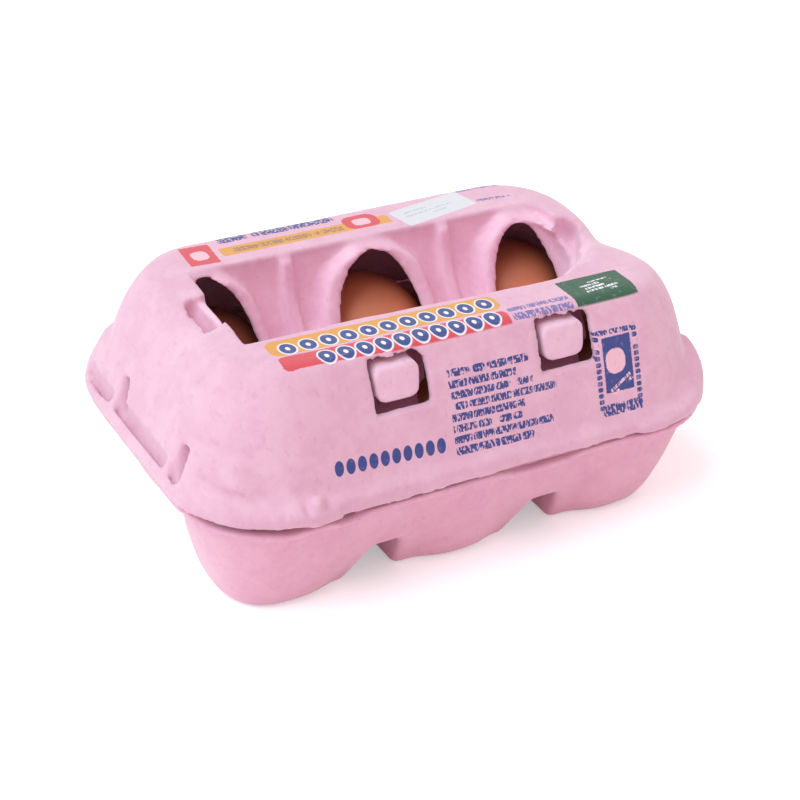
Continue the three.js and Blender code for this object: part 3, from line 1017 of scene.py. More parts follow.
@dataclass
class LockFlap:
    """The flap at the front: a strip with two tall tongues, each with a raised pad."""

    shape: CartonShape
    step: float = 0.55
    thickness: float = 1.5
    dish: float = 6.0
    foot: tuple[float, float] = (-47.45, 32.5)
    top: tuple[float, float] = (-35.65, 62.8)
    strip_z: float = 34.1
    strip_half: tuple[float, float] = (39.6, 1.6)
    tongue_z: float = 47.6
    tongue_half: tuple[float, float] = (9.9, 15.2)
    pad_z: float = 57.9
    pad_half: tuple[float, float] = (6.2, 4.5)
    pad_face: float = -42.0
    # painted shade: how strongly the hollow behind each pad darkens the sheet's colour
    hollow_shade: float = 0.75

    def middle(self, z: Array) -> Array:
        """Y of the flap's middle surface, on a straight line from its foot to its top."""
        share = (z - self.foot[1]) / (self.top[1] - self.foot[1])
        return self.foot[0] + (self.top[0] - self.foot[0]) * share

    def build(self) -> bpy.types.Object:
        """Makes the flap: a sheet hollowed behind each pad, cut to its outline, and the pads, with
        painted shade in the hollows.
        """
        grid = Grid((
            graded_line(-42, 42, self.step),
            graded_line(-50, -23, self.step),
            graded_line(31.5, 64.5, self.step),
        ))
        x, y, z = grid.axes()
        off_latch = np.abs(np.abs(x) - self.shape.latch_x)
        dish = self.dish * smoothstep(41.5, 51.5, z) * smoothstep(16.5, 10.5, off_latch)
        across = true_scale(y - self.middle(z) - dish + blank(x, y, z), grid.lines)
        outline = rounded_rectangle(x, z - self.strip_z, *self.strip_half, 1.2)
        pads = blank(x, y, z) + 99.0
        for middle, _ in self.shape.latches:
            u = x - math.copysign(self.shape.latch_x, middle)
            taper = self.tongue_half[0] - 0.03 * (z - 36) + 3.0 * smoothstep(49, 54, z)
            tongue = rounded_rectangle(u, z - self.tongue_z, taper, self.tongue_half[1], 3.2)
            outline = either(outline, tongue, 3.0)
            u = x - middle + 0.5
            widening = self.pad_half[0] + 0.05 * (z - 58)
            pad = rounded_rectangle(u, z - self.pad_z, widening, self.pad_half[1], 2.6)
            face = self.pad_face + 0.236 * (z - 54.2) + 0.006 * u**2
            depth = both(face - y, across - 0.2, 0.6)
            pads = np.minimum(pads, both(pad, depth, 0.9))
        sheet = both(outline, np.abs(across) - self.thickness / 2, 0.8)
        values = either(sheet, pads, 0.5) + self.shape.wrinkles(x, y + 900, z, 0.12)
        surface = grid.surface(values)
        piece = make_piece("lock_flap_sheet", surface, Body.FLAP)
        # painted shade: the sheet round each pad is darkened by how deep its hollow lies
        sunken = dish * smoothstep(0.2, 1.6, pads)
        shade = self.hollow_shade * smoothstep(2, 6, grid.read(sunken, surface.points))
        point_attribute(piece, PAINTED_SHADE, shade)
        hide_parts("lock_flap")
        return piece


# ---- The eggs ----


@dataclass
class Eggs:
    """Six small brown eggs, blunt end up, one in each cup."""

    length: float = 49.0
    radius: float = 19.8
    taper: float = 0.11
    steps: int = 40
    # painted shade: the back left egg, seen through the left window, has the darkest tone in place of the
    # shade that falls on it there
    tones: tuple[float, ...] = (0.62, 0.72, 0.56, 0.02, 0.96, 0.84)
    # painted shade: from blunt_start of its length upwards, each egg darkens by up to blunt_shade, where
    # the lid's hood shades it
    blunt_start: float = 0.78
    blunt_shade: float = 0.5

    def surface(self, low: Vector, high: Vector, relief: Unevenness) -> Surface:
        """One egg, standing where its node does.

        Directions come from the six faces of a cube, so the egg has no poles. Where t is the
        angle from straight down, the radius is R*sin(t)*(1 - k*cos(t)) and the height is
        L*(1 - cos(t))/2, with unevenness of a tenth of a millimetre.

        Args:
            low: The node's lowest corner, in metres.
            high: The node's highest corner, in metres.
            relief: The unevenness of the shell.

        Returns:
            The closed egg.
        """
        ways, faces = cube_directions(self.steps)
        cosine = -ways[:, 2]
        sine = np.sqrt(np.clip(1 - cosine**2, 0, 1))
        around = np.arctan2(ways[:, 1], ways[:, 0])
        radius = self.radius * sine * (1 - self.taper * cosine)
        height = self.length * (1 - cosine) / 2
        points = np.stack([radius * np.cos(around), radius * np.sin(around), height], axis=1)
        middle = (np.array(low) + np.array(high)) / 2 / MM
        points += [middle[0], middle[1], low.z / MM]
        bumps = 0.1 * relief.at(*(points.T + 400), 9.0)
        points += ways * (bumps - 0.1)[:, None]
        return Surface(points, faces)

    def build(self, shape: CartonShape) -> list[bpy.types.Object]:
        """Makes the six eggs, each with a tone of its own and painted shade that darkens its blunt end.
        """
        made = []
        columns = ("left", "middle", "right")
        nodes = [f"egg_{row}_{column}" for row in ("front", "back") for column in columns]
        for node, tone in zip(nodes, self.tones):
            surface = self.surface(*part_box(node), shape.relief)
            egg = make_piece(f"brown_{node}", surface, Body.BASE)
            height = surface.points[:, 2] - surface.points[:, 2].min()
            # painted shade: the tone is lowered towards the blunt end at the top
            blunt = smoothstep(self.blunt_start * self.length, self.length, height)
            point_attribute(egg, EGG_TONE_AND_SHADE, tone - self.blunt_shade * blunt)
            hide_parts(node)
            made.append(egg)
        return made


def cube_directions(steps: int) -> tuple[Array, Array]:
    """Directions spread over a ball, and the four-sided faces between them.

    Each face of a cube carries a grid of points (1, tan(u), tan(v)), u and v from -45 to 45
    degrees, drawn in to length 1, and points that two faces share are joined.

    Args:
        steps: Number of faces along a cube's edge.

    Returns:
        The directions and the faces.
    """
    side = np.tan(np.linspace(-math.pi / 4, math.pi / 4, steps + 1))
    u, v = [part.ravel() for part in np.meshgrid(side, side, indexing="ij")]
    one = np.ones(u.shape)
    blocks = [
        np.stack(parts, axis=1) for parts in (
            (one, v, u), (-one, u, v), (u, one, v), (v, -one, u), (v, u, one), (u, v, -one),
        )
    ]
    faces = [grid_faces(steps + 1, steps + 1, closed=False) + k * len(u) for k in range(6)]
    points = np.concatenate(blocks)
    points /= np.linalg.norm(points, axis=1)[:, None]
    keys = np.rint(points * 1e6).astype(int)
    _, first, number = np.unique(keys, axis=0, return_index=True, return_inverse=True)
    return points[first], number.ravel()[np.concatenate(faces)]


# ---- The folds of pulp that join the pieces ----


@dataclass
class Fold:
    """A thin bent strip of pulp that joins two bodies along X."""

    name: str
    body: Body
    other: Body
    half: float
    route: tuple[tuple[float, float], ...]
    thickness: float = 0.7
    waviness: float = 0.12
    steps_along: int = 120
    steps_across: int = 12

    def build(self, shape: CartonShape) -> bpy.types.Object:
        """Makes the strip: its route in Y and Z, smoothed, carried along X as a closed tube.

        The route is a curve through the given points, and the tube's section lies half the
        thickness to either side of it. The tube's ends are closed by flat faces.

        Args:
            shape: The carton's shape, whose unevenness the strip shares.

        Returns:
            The strip, which lies between its two bodies and is attached to neither.
        """
        knots = np.array(self.route)
        place = np.linspace(0, len(knots) - 1, self.steps_across)
        line = np.stack([_curve(place, knots[:, 0]), _curve(place, knots[:, 1])], axis=1)
        slope = np.gradient(line, axis=0)
        normal = np.stack([slope[:, 1], -slope[:, 0]], axis=1)
        normal /= np.linalg.norm(normal, axis=1)[:, None]
        offset = normal * self.thickness / 2
        section = np.concatenate([line + offset, (line - offset)[::-1]])
        x = np.linspace(-self.half, self.half, self.steps_along)
        points = np.empty((len(x), len(section), 3))
        points[..., 0] = x[:, None]
        points[..., 1:] = section[None]
        waves = shape.relief.at(points[..., 0], points[..., 1] * 0, points[..., 2] * 0, 3.0)
        points[..., 1] += self.waviness * waves
        ring = len(section)
        faces = grid_faces(len(x), ring, closed=True)
        half = np.arange(self.steps_across - 1)
        cap = np.stack([half, half + 1, ring - 2 - half, ring - 1 - half], axis=1)
        last = (len(x) - 1) * ring
        faces = np.concatenate([faces, cap[:, ::-1], cap + last])
        surface = Surface(points.reshape(-1, 3), faces)
        piece = make_piece(self.name, surface, None)
        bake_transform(piece)
        return piece


FOLDS: tuple[Fold, ...] = (
    Fold(
        "hinge_fold", Body.BASE, Body.LID, 48.0,
        ((50.6, 31.6), (52.3, 31.9), (52.9, 32.3), (52.4, 32.9), (51.6, 33.3)),
    ),
    Fold(
        "flap_fold", Body.BASE, Body.FLAP, 39.5,
        ((-50.2, 30.2), (-49.2, 31.0), (-48.3, 32.1), (-47.6, 33.0)),
    ),
)


def _curve(place: Array, knots: Array) -> Array:
    """A smooth curve through evenly spaced knots.

    Between two knots it is the Catmull-Rom blend of the four nearest.

    Args:
        place: Positions, counted in knots.
        knots: The values to pass through.

    Returns:
        The curve's values.
    """
    padded = np.concatenate([[2 * knots[0] - knots[1]], knots, [2 * knots[-1] - knots[-2]]])
    low = np.minimum(place.astype(int), len(knots) - 2)
    t = place - low
    p0, p1, p2, p3 = (padded[low + k] for k in range(4))
    bend = 2 * p0 - 5 * p1 + 4 * p2 - p3
    twist = -p0 + 3 * p1 - 3 * p2 + p3
    return 0.5 * (2 * p1 + (p2 - p0) * t + bend * t**2 + twist * t**3)


# ---- Node trees ----


@dataclass
class NodeTree:
    """A shader tree under construction, with short ways to add its usual nodes."""

    tree: bpy.types.NodeTree

    def add(self, kind: str, **settings: object) -> bpy.types.Node:
        """Adds a node of a kind and sets its own properties."""
        node = self.tree.nodes.new(kind)
        for name, value in settings.items():
            setattr(node, name, value)
        return node

    def feed(self, socket: bpy.types.NodeSocket, value: object) -> None:
        """Links a socket into another, or sets it to a constant."""
        if isinstance(value, bpy.types.NodeSocket):
            self.tree.links.new(value, socket)
        else:
            socket.default_value = value

    def math(self, operation: str, *values: object, clamp: bool = False) -> bpy.types.NodeSocket:
        """A Math node's result for up to three values."""
        node = self.add("ShaderNodeMath", operation=operation, use_clamp=clamp)
        for socket, value in zip(node.inputs, values):
            self.feed(socket, value)
        return node.outputs[0]

    def vector(self, operation: str, *values: object) -> bpy.types.NodeSocket:
        """A Vector Math node's vector result."""
        node = self.add("ShaderNodeVectorMath", operation=operation)
        for socket, value in zip(node.inputs, values):
            self.feed(socket, value)
        return node.outputs[0]

    def noise(
        self, point: object, scale: float, detail: float = 2.0, rough: float = 0.5
    ) -> bpy.types.NodeSocket:
        """A Noise texture's value, 0 to 1."""
        node = self.add("ShaderNodeTexNoise", noise_dimensions="3D", normalize=True)
        self.feed(node.inputs["Vector"], point)
        node.inputs["Scale"].default_value = scale
        node.inputs["Detail"].default_value = detail
        node.inputs["Roughness"].default_value = rough
        return node.outputs[0]

    def spread(
        self, value: object, low: float, high: float, start: float = 0.0, end: float = 1.0
    ) -> bpy.types.NodeSocket:
        """A value mapped from low..high to start..end, smooth and kept within them."""
        node = self.add("ShaderNodeMapRange", interpolation_type="SMOOTHSTEP", clamp=True)
        names = ("Value", "From Min", "From Max", "To Min", "To Max")
        for name, number in zip(names, (value, low, high, start, end)):
            self.feed(node.inputs[name], number)
        return node.outputs[0]

    def blend(self, share: object, first: object, second: object) -> bpy.types.NodeSocket:
        """Two colours mixed by a share."""
        node = self.add("ShaderNodeMix", data_type="RGBA", clamp_factor=True)
        self.feed(node.inputs[0], share)
        for socket, value in zip((node.inputs[6], node.inputs[7]), (first, second)):
            self.feed(socket, value if isinstance(value, bpy.types.NodeSocket) else (*value, 1.0))
        return node.outputs[2]

    def parts(self, point: bpy.types.NodeSocket) -> list[bpy.types.NodeSocket]:
        """The three numbers of a vector."""
        split = self.add("ShaderNodeSeparateXYZ")
        self.feed(split.inputs[0], point)
        return list(split.outputs)

    def joined(self, *numbers: object) -> bpy.types.NodeSocket:
        """A vector made of three numbers."""
        node = self.add("ShaderNodeCombineXYZ")
        for socket, number in zip(node.inputs, numbers):
            self.feed(socket, number)
        return node.outputs[0]

    def bump(self, height: object, strength: float, distance: float) -> bpy.types.NodeSocket:
        """A Bump node's normal, for a height."""
        node = self.add("ShaderNodeBump")
        for name, value in (("Strength", strength), ("Distance", distance), ("Height", height)):
            self.feed(node.inputs[name], value)
        return node.outputs[0]

    def use(self, group: bpy.types.NodeTree, **values: object) -> bpy.types.Node:
        """Places a node group and feeds its inputs, underscores standing for spaces."""
        node = self.add("ShaderNodeGroup", node_tree=group)
        for name, value in values.items():
            self.feed(node.inputs[name.replace("_", " ")], value)
        return node


def new_group(
    name: str, inputs: dict[str, str], outputs: dict[str, str]
) -> tuple[NodeTree, bpy.types.Node, bpy.types.Node]:
    """Starts a shader node group.

    Args:
        name: The group's name.
        inputs: Names and kinds of its inputs, such as {"Pitch": "Float"}.
        outputs: Names and kinds of its outputs.

    Returns:
        The tree, its input node and its output node.
    """
    tree = bpy.data.node_groups.new(name, "ShaderNodeTree")
    for ways, in_out in ((inputs, "INPUT"), (outputs, "OUTPUT")):
        for title, kind in ways.items():
            tree.interface.new_socket(title, in_out=in_out, socket_type=f"NodeSocket{kind}")
    made = NodeTree(tree)
    return made, made.add("NodeGroupInput"), made.add("NodeGroupOutput")


def pulp_group() -> bpy.types.NodeTree:
    """The grain of moulded pulp: clumps, felt marks and short fibres.

    Returns:
        A group that puts out a height for bump, a mottle and a mask of darker fibres.
    """
    made, start, end = new_group(
        "pulp_grain", {"Point": "Vector", "Fibre": "Float"},
        {"Height": "Float", "Mottle": "Float", "Fibres": "Float"},
    )
    point = start.outputs["Point"]
    clumps = made.noise(point, 420.0, 3.0, 0.6)
    felt = made.noise(point, 1500.0, 2.0, 0.6)
    broad = made.noise(point, 110.0, 3.0, 0.55)
    stretched = made.vector("MULTIPLY", point, (900.0, 260.0, 520.0))
    strands = made.noise(stretched, 1.0, 1.0, 0.4)
    fibres = made.spread(strands, 0.66, 0.74)
    fibres = made.math("MULTIPLY", fibres, start.outputs["Fibre"])
    height = made.math("MULTIPLY_ADD", clumps, 0.55, made.math("MULTIPLY", felt, 0.3))
    height = made.math("MULTIPLY_ADD", broad, 0.5, height)
    height = made.math("MULTIPLY_ADD", fibres, 0.12, height)
    mottle = made.math("MULTIPLY_ADD", clumps, 0.4, made.math("MULTIPLY", broad, 0.6))
    for name, value in (("Height", height), ("Mottle", mottle), ("Fibres", fibres)):
        made.feed(end.inputs[name], value)
    return made.tree


def _local_point(made: NodeTree, start: bpy.types.Node) -> bpy.types.NodeSocket:
    """A point measured from a mark's centre and turned back by the mark's turn."""
    turned = made.add("ShaderNodeVectorRotate", rotation_type="Z_AXIS", invert=True)
    away = made.vector("SUBTRACT", start.outputs["Point"], start.outputs["Centre"])
    made.feed(turned.inputs["Vector"], away)
    made.feed(turned.inputs["Angle"], start.outputs["Turn"])
    return turned.outputs[0]


def block_group() -> bpy.types.NodeTree:
    """A printed field: a rounded rectangle with slightly ragged edges.

    The distance is |max(q, 0)| + min(max(qx, qy), 0) - corner, where q = |p| - (half - corner).

    Returns:
        A group that puts out the field's mask.
    """
    inputs = {"Point": "Vector", "Centre": "Vector", "Half": "Vector", "Corner": "Float", "Turn": "Float"}
    made, start, end = new_group("printed_block", inputs, {"Mask": "Float"})
    point = _local_point(made, start)
    corner = start.outputs["Corner"]
    beyond = made.vector("SUBTRACT", made.vector("ABSOLUTE", point), start.outputs["Half"])
    qx, qy = (made.math("ADD", part, corner) for part in made.parts(beyond)[:2])
    over_x, over_y = made.math("MAXIMUM", qx, 0.0), made.math("MAXIMUM", qy, 0.0)
    squares = made.math("MULTIPLY_ADD", over_x, over_x, made.math("MULTIPLY", over_y, over_y))
    inner = made.math("MINIMUM", made.math("MAXIMUM", qx, qy), 0.0)
    distance = made.math("SUBTRACT", made.math("ADD", made.math("SQRT", squares), inner), corner)
    ragged = made.math("MULTIPLY_ADD", made.noise(start.outputs["Point"], 1.4, 2.0), 0.5, -0.25)
    distance = made.math("ADD", distance, ragged)
    made.feed(end.inputs["Mask"], made.spread(distance, 0.12, -0.12))
    return made.tree


def rows_group() -> bpy.types.NodeTree:
    """Printed rows of small shapes: ovals, or broken strokes where lines of words would be.

    Each row is cut into cells of swaying width, and white noise leaves some empty. In a cell,
    the shape is where |x/width|^n + |y/height|^n < 1, n being 2 for an oval. Noise then breaks
    it into strokes, and white noise shortens each row.

    Returns:
        A group that puts out the mask of the shapes.
    """
    numbers = ("Turn", "Pitch", "Cell", "Fill", "Width", "Height", "Power", "Broken", "Sway", "Ragged")
    inputs = {"Point": "Vector", "Centre": "Vector", "Half": "Vector"} | dict.fromkeys(numbers, "Float")
    made, start, end = new_group("printed_rows", inputs, {"Mask": "Float"})
    given = start.outputs
    x, y, _ = made.parts(made.vector("ADD", _local_point(made, start), given["Half"]))
    half_x, half_y, _ = made.parts(given["Half"])
    up = made.math("DIVIDE", y, given["Pitch"])
    row = made.math("FLOOR", up)
    wave = made.math("SINE", made.math("MULTIPLY_ADD", row, 2.4, made.math("MULTIPLY", x, 0.9)))
    across = made.math("DIVIDE", made.math("MULTIPLY_ADD", wave, given["Sway"], x), given["Cell"])
    chance = made.add("ShaderNodeTexWhiteNoise", noise_dimensions="2D")
    made.feed(chance.inputs["Vector"], made.joined(made.math("FLOOR", across), row, 0.0))
    inked = made.math("LESS_THAN", chance.outputs["Value"], given["Fill"])
    total = 0.0
    for place, size in ((across, given["Width"]), (up, given["Height"])):
        off = made.math("ABSOLUTE", made.math("SUBTRACT", made.math("FRACT", place), 0.5))
        share = made.math("POWER", made.math("DIVIDE", off, size), given["Power"])
        total = made.math("ADD", share, total)
    shape = made.spread(total, 1.12, 0.88)
    along, upward = made.math("MULTIPLY", x, 1.9), made.math("MULTIPLY", y, 0.8)
    grain = made.noise(made.joined(along, upward, row), 1.0, 1.0)
    gaps = made.math("MULTIPLY", made.spread(grain, 0.48, 0.41), given["Broken"])
    shape = made.math("MULTIPLY", shape, made.math("SUBTRACT", 1.0, gaps))
    length = made.add("ShaderNodeTexWhiteNoise", noise_dimensions="1D")
    made.feed(length.inputs["W"], row)
    cut = made.math("MULTIPLY", length.outputs["Value"], given["Ragged"])
    limit = made.math("MULTIPLY", made.math("MULTIPLY", half_x, 2.0), made.math("SUBTRACT", 1.0, cut))
    inside = made.math("MULTIPLY", made.math("GREATER_THAN", x, 0.0), made.math("LESS_THAN", x, limit))
    top = made.math("LESS_THAN", y, made.math("MULTIPLY", half_y, 2.0))
    inside = made.math("MULTIPLY", inside, made.math("MULTIPLY", top, made.math("GREATER_THAN", y, 0.0)))
    mask = made.math("MULTIPLY", made.math("MULTIPLY", shape, inked), inside)
    made.feed(end.inputs["Mask"], mask)
    return made.tree


# ---- The finishes ----


@dataclass(frozen=True)
class Rows:
    """How a mark is broken into rows of small shapes.

    pitch and cell are a row's and a cell's size, width and height the shape's half size as a
    share of them, and power 2 makes ovals.
    """

    pitch: float
    cell: float
    fill: float = 1.0
    width: float = 0.46
    height: float = 0.33
    power: float = 6.0
    broken: float = 0.0
    sway: float = 0.0
    ragged: float = 0.0


def ovals(pitch: float, cell: float, width: float, height: float) -> Rows:
    """A row of ovals of a given half width and half height, in millimetres."""
    return Rows(pitch, cell, width=width / cell, height=height / pitch, power=2.0)


def strokes(pitch: float, fill: float = 1.0, height: float = 0.35, ragged: float = 0.0) -> Rows:
    """Rows of broken strokes that stand where lines of words would."""
    return Rows(pitch, 2.3 * pitch, fill, 0.46, height, 5.0, 0.95, 0.4 * pitch, ragged)


@dataclass(frozen=True)
class Mark:
    """One printed mark: a plain field of colour, or rows of small shapes."""

    plane: Plane
    centre: tuple[float, float]
    half: tuple[float, float]
    colour: Colour
    corner: float = 0.6
    turn: float = 0.0
    rows: Rows | None = None


ORANGE: Colour = (0.72, 0.295, 0.050)
RED: Colour = (0.66, 0.052, 0.075)
GREEN: Colour = (0.010, 0.075, 0.034)
BLUE: Colour = (0.026, 0.042, 0.21)
VIOLET: Colour = (0.20, 0.14, 0.36)
BROWN: Colour = (0.36, 0.17, 0.10)
WHITE: Colour = (0.84, 0.75, 0.80)
STICKER: Colour = (0.67, 0.61, 0.65)
STICKER_GREY: Colour = (0.50, 0.48, 0.54)
ROSE: Colour = (0.86, 0.45, 0.55)


def oval_row(
    centre: tuple[float, float], half: tuple[float, float], turn: float, cell: float
) -> list[Mark]:
    """A row of blue ovals on the near ridge, each outlined in white and with a pale glint.

    Args:
        centre: Middle of the row.
        half: Half length and half width of the row.
        turn: The row's turn, in radians.
        cell: Distance from oval to oval.

    Returns:
        The outlines, the ovals and the glints.
    """
    sizes = ((WHITE, 2.5, 2.95), (BLUE, 2.05, 2.5), (WHITE, 0.6, 0.85))
    return [
        Mark(Plane.TOP, centre, half, colour, turn=turn, rows=ovals(2 * half[1], cell, *size))
        for colour, *size in sizes
    ]


def side_panel(centre: tuple[float, float]) -> list[Mark]:
    """The tall panel at the right of the front: a pale oval on blue, framed by fine strokes."""
    x, z = centre
    edge = Rows(1.55, 1.5, 0.96, 0.5, 0.38, 4.0, 0.3)
    return [
        Mark(Plane.FRONT, (x - 0.2, z + 1.9), (4.4, 6.9), BLUE, 0.3, -0.01),
        Mark(Plane.FRONT, (x - 0.9, z + 2.7), (3.0, 3.1), ROSE, 2.6, -0.01),
        Mark(Plane.FRONT, (x + 0.3, z - 3.4), (3.6, 1.2), ROSE, turn=0.5, rows=strokes(1.2, 0.9)),
        Mark(Plane.FRONT, (x - 6.3, z + 0.7), (0.8, 9.8), BLUE, turn=-0.01, rows=edge),
        Mark(Plane.FRONT, (x + 5.7, z + 0.4), (0.8, 10.2), BLUE, turn=-0.01, rows=edge),
        Mark(Plane.FRONT, (x - 0.4, z + 10.0), (5.6, 0.8), BLUE, turn=-0.03, rows=strokes(1.6, 1, 0.4)),
        Mark(Plane.FRONT, (x - 0.2, z - 9.2), (6.2, 1.7), BLUE, turn=-0.01, rows=strokes(3.4, 1, 0.42)),
    ]


MARKS: tuple[Mark, ...] = (
    Mark(Plane.TOP, (-19.6, -26.9), (32.0, 3.7), ORANGE, 2.6, -0.030),
    Mark(Plane.TOP, (-20.0, -34.4), (31.4, 2.9), RED, 1.6, -0.040),
    *oval_row((-19.0, -27.3), (30.4, 2.9), -0.012, 5.53),
    *oval_row((-16.4, -34.3), (25.8, 2.9), -0.010, 5.16),
    Mark(Plane.TOP, (40.9, -32.1), (9.6, 6.3), GREEN, 0.3),
    Mark(Plane.TOP, (41.6, -31.8), (5.2, 3.2), WHITE, turn=0.1, rows=strokes(1.4, 0.65, 0.3)),
    Mark(Plane.TOP, (21.2, -34.9), (9.0, 2.8), VIOLET, turn=-0.03, rows=strokes(2.8)),
    Mark(Plane.TOP, (-45.4, 28.3), (4.2, 5.6), RED, 0.5, -0.07),
    Mark(Plane.TOP, (-45.4, 28.0), (2.3, 2.6), ROSE, 1.8),
    Mark(Plane.TOP, (-14.0, 27.4), (25.6, 2.4), ORANGE, 0.8),
    Mark(Plane.TOP, (-19.5, 27.4), (16.5, 1.8), BROWN, rows=strokes(3.6)),
    Mark(Plane.TOP, (-20.5, 34.2), (17.4, 2.4), BLUE, rows=strokes(4.8, height=0.4)),
    Mark(Plane.TOP, (3.4, 28.9), (5.2, 3.9), RED, 2.9),
    Mark(Plane.TOP, (3.4, 28.7), (2.6, 1.9), ROSE, 1.4),
    Mark(Plane.TOP, (25.8, 28.0), (12.4, 5.0), STICKER, 0.8, 0.2),
    Mark(Plane.TOP, (25.4, 28.0), (9.4, 3.0), STICKER_GREY, turn=0.2, rows=strokes(2.0, 0.8, 0.22, 0.5)),
    Mark(Plane.TOP, (44.8, 35.0), (7.5, 1.2), VIOLET, rows=strokes(2.4)),
    Mark(Plane.TOP, (45.0, 26.8), (5.4, 1.1), VIOLET, turn=-0.1, rows=strokes(2.2)),
    Mark(Plane.FRONT, (5.4, 47.7), (15.6, 10.6), BLUE, turn=-0.026, rows=strokes(2.65, ragged=0.4)),
    Mark(Plane.FRONT, (-28.5, 41.7), (15.8, 2.3), BLUE, turn=-0.036, rows=ovals(4.6, 3.16, 1.25, 1.85)),
    *side_panel((40.5, 47.8)),
)


@dataclass(frozen=True)
class PulpFinish:
    """Matt paper pulp, dyed pink, mottled by its fibres."""

    pale: Colour = (0.748, 0.404, 0.520)
    deep: Colour = (0.705, 0.355, 0.478)
    fibre: Colour = (0.56, 0.21, 0.33)
    # painted shade: the dark rose that the pulp's colour turns to in its recesses
    pressed: Colour = (0.34, 0.045, 0.13)
    # painted light: lightens the pulp's colour down in the valley, lifting its shade
    shelter: Colour = (1.17, 1.20, 1.20)
    roughness: float = 0.92
    sheen: float = 0.35
    sheen_roughness: float = 0.55
    specular: float = 0.3
    bump: float = 0.30
    bump_depth: float = 0.0005

    def material(
        self, name: str, grain: bpy.types.NodeTree, marks: Sequence[Mark] = ()
    ) -> bpy.types.Material:
        """Makes the material, with any printed marks on its outer skin.

        Args:
            name: The material's name.
            grain: The pulp grain group.
            marks: The marks, each over the ones before it.

        Returns:
            The material.
        """
        material, made, shader = new_material(name)
        coords = made.add("ShaderNodeTexCoord").outputs["Object"]
        pulp = made.use(grain, Point=coords, Fibre=1.0)
        colour = made.blend(made.spread(pulp.outputs["Mottle"], 0.38, 0.62), self.deep, self.pale)
        colour = made.blend(made.math("MULTIPLY", pulp.outputs["Fibres"], 0.22), colour, self.fibre)
        # painted shade: darkens the colour in recesses by the point attribute
        pressed = made.add("ShaderNodeAttribute", attribute_name=PAINTED_SHADE).outputs["Fac"]
        colour = made.blend(pressed, colour, self.pressed)
        if marks:
            colour = self.printed(made, coords, self.sheltered(made, coords, colour), marks)
        made.feed(shader.inputs["Base Color"], colour)
        rough = made.spread(pulp.outputs["Mottle"], 0.3, 0.7, self.roughness, self.roughness - 0.08)
        made.feed(shader.inputs["Roughness"], rough)
        shader.inputs["Sheen Weight"].default_value = self.sheen
        shader.inputs["Sheen Roughness"].default_value = self.sheen_roughness
        shader.inputs["Specular IOR Level"].default_value = self.specular
        normal = made.bump(pulp.outputs["Height"], self.bump, self.bump_depth)
        made.feed(shader.inputs["Normal"], normal)
        return material

    def sheltered(
        self, made: NodeTree, coords: bpy.types.NodeSocket, colour: bpy.types.NodeSocket
    ) -> bpy.types.NodeSocket:
        """Lightens the pulp's colour down in the valley, between its walls and its two ends: painted
        light that lifts the valley's shade.

        Args:
            made: The material's tree.
            coords: Object coordinates, in metres.
            colour: The pulp's colour.

        Returns:
            The colour, lighter in the valley.
        """
        x, y, z = made.parts(coords)
        within = made.spread(made.math("ABSOLUTE", y), 0.0215, 0.0195)
        within = made.math("MULTIPLY", within, made.spread(z, 0.0655, 0.0635))
        within = made.math("MULTIPLY", within, made.spread(made.math("ABSOLUTE", x), 0.059, 0.054))
        return made.blend(within, colour, made.vector("MULTIPLY", colour, self.shelter))

    def printed(
        self, made: NodeTree, coords: bpy.types.NodeSocket,
        colour: bpy.types.NodeSocket, marks: Sequence[Mark],
    ) -> bpy.types.NodeSocket:
        """Lays printed marks over the pulp's colour.

        Args:
            made: The material's tree.
            coords: Object coordinates, in metres.
            colour: The pulp's colour.
            marks: The marks, each over the ones before it.

        Returns:
            The colour with the marks.
        """
        groups = {Rows: rows_group(), type(None): block_group()}
        x, y, z = made.parts(made.vector("MULTIPLY", coords, (1 / MM,) * 3))
        skin = made.add("ShaderNodeAttribute", attribute_name=OUTER_SKIN).outputs["Fac"]
        worn = made.spread(made.noise(coords, 700.0, 3.0), 0.28, 0.42, 0.84, 0.985)
        on_skin = made.math("MULTIPLY", skin, worn)
        on_top = made.math("MULTIPLY", on_skin, made.spread(z, 64.3, 64.9))
        on_front = made.math("MULTIPLY", on_skin, made.spread(y, -34.5, -36.0))
        planes = {
            Plane.TOP: (made.joined(x, y, 0.0), on_top),
            Plane.FRONT: (made.joined(x, z, 0.0), on_front),
        }
        for mark in marks:
            point, share = planes[mark.plane]
            own = {"Corner": mark.corner}
            if mark.rows is not None:
                own = {name.capitalize(): value for name, value in asdict(mark.rows).items()}
            node = made.use(
                groups[type(mark.rows)], Point=point, Centre=(*mark.centre, 0.0),
                Half=(*mark.half, 0.0), Turn=mark.turn, **own,
            )
            colour = made.blend(made.math("MULTIPLY", node.outputs["Mask"], share), colour, mark.colour)
        return colour


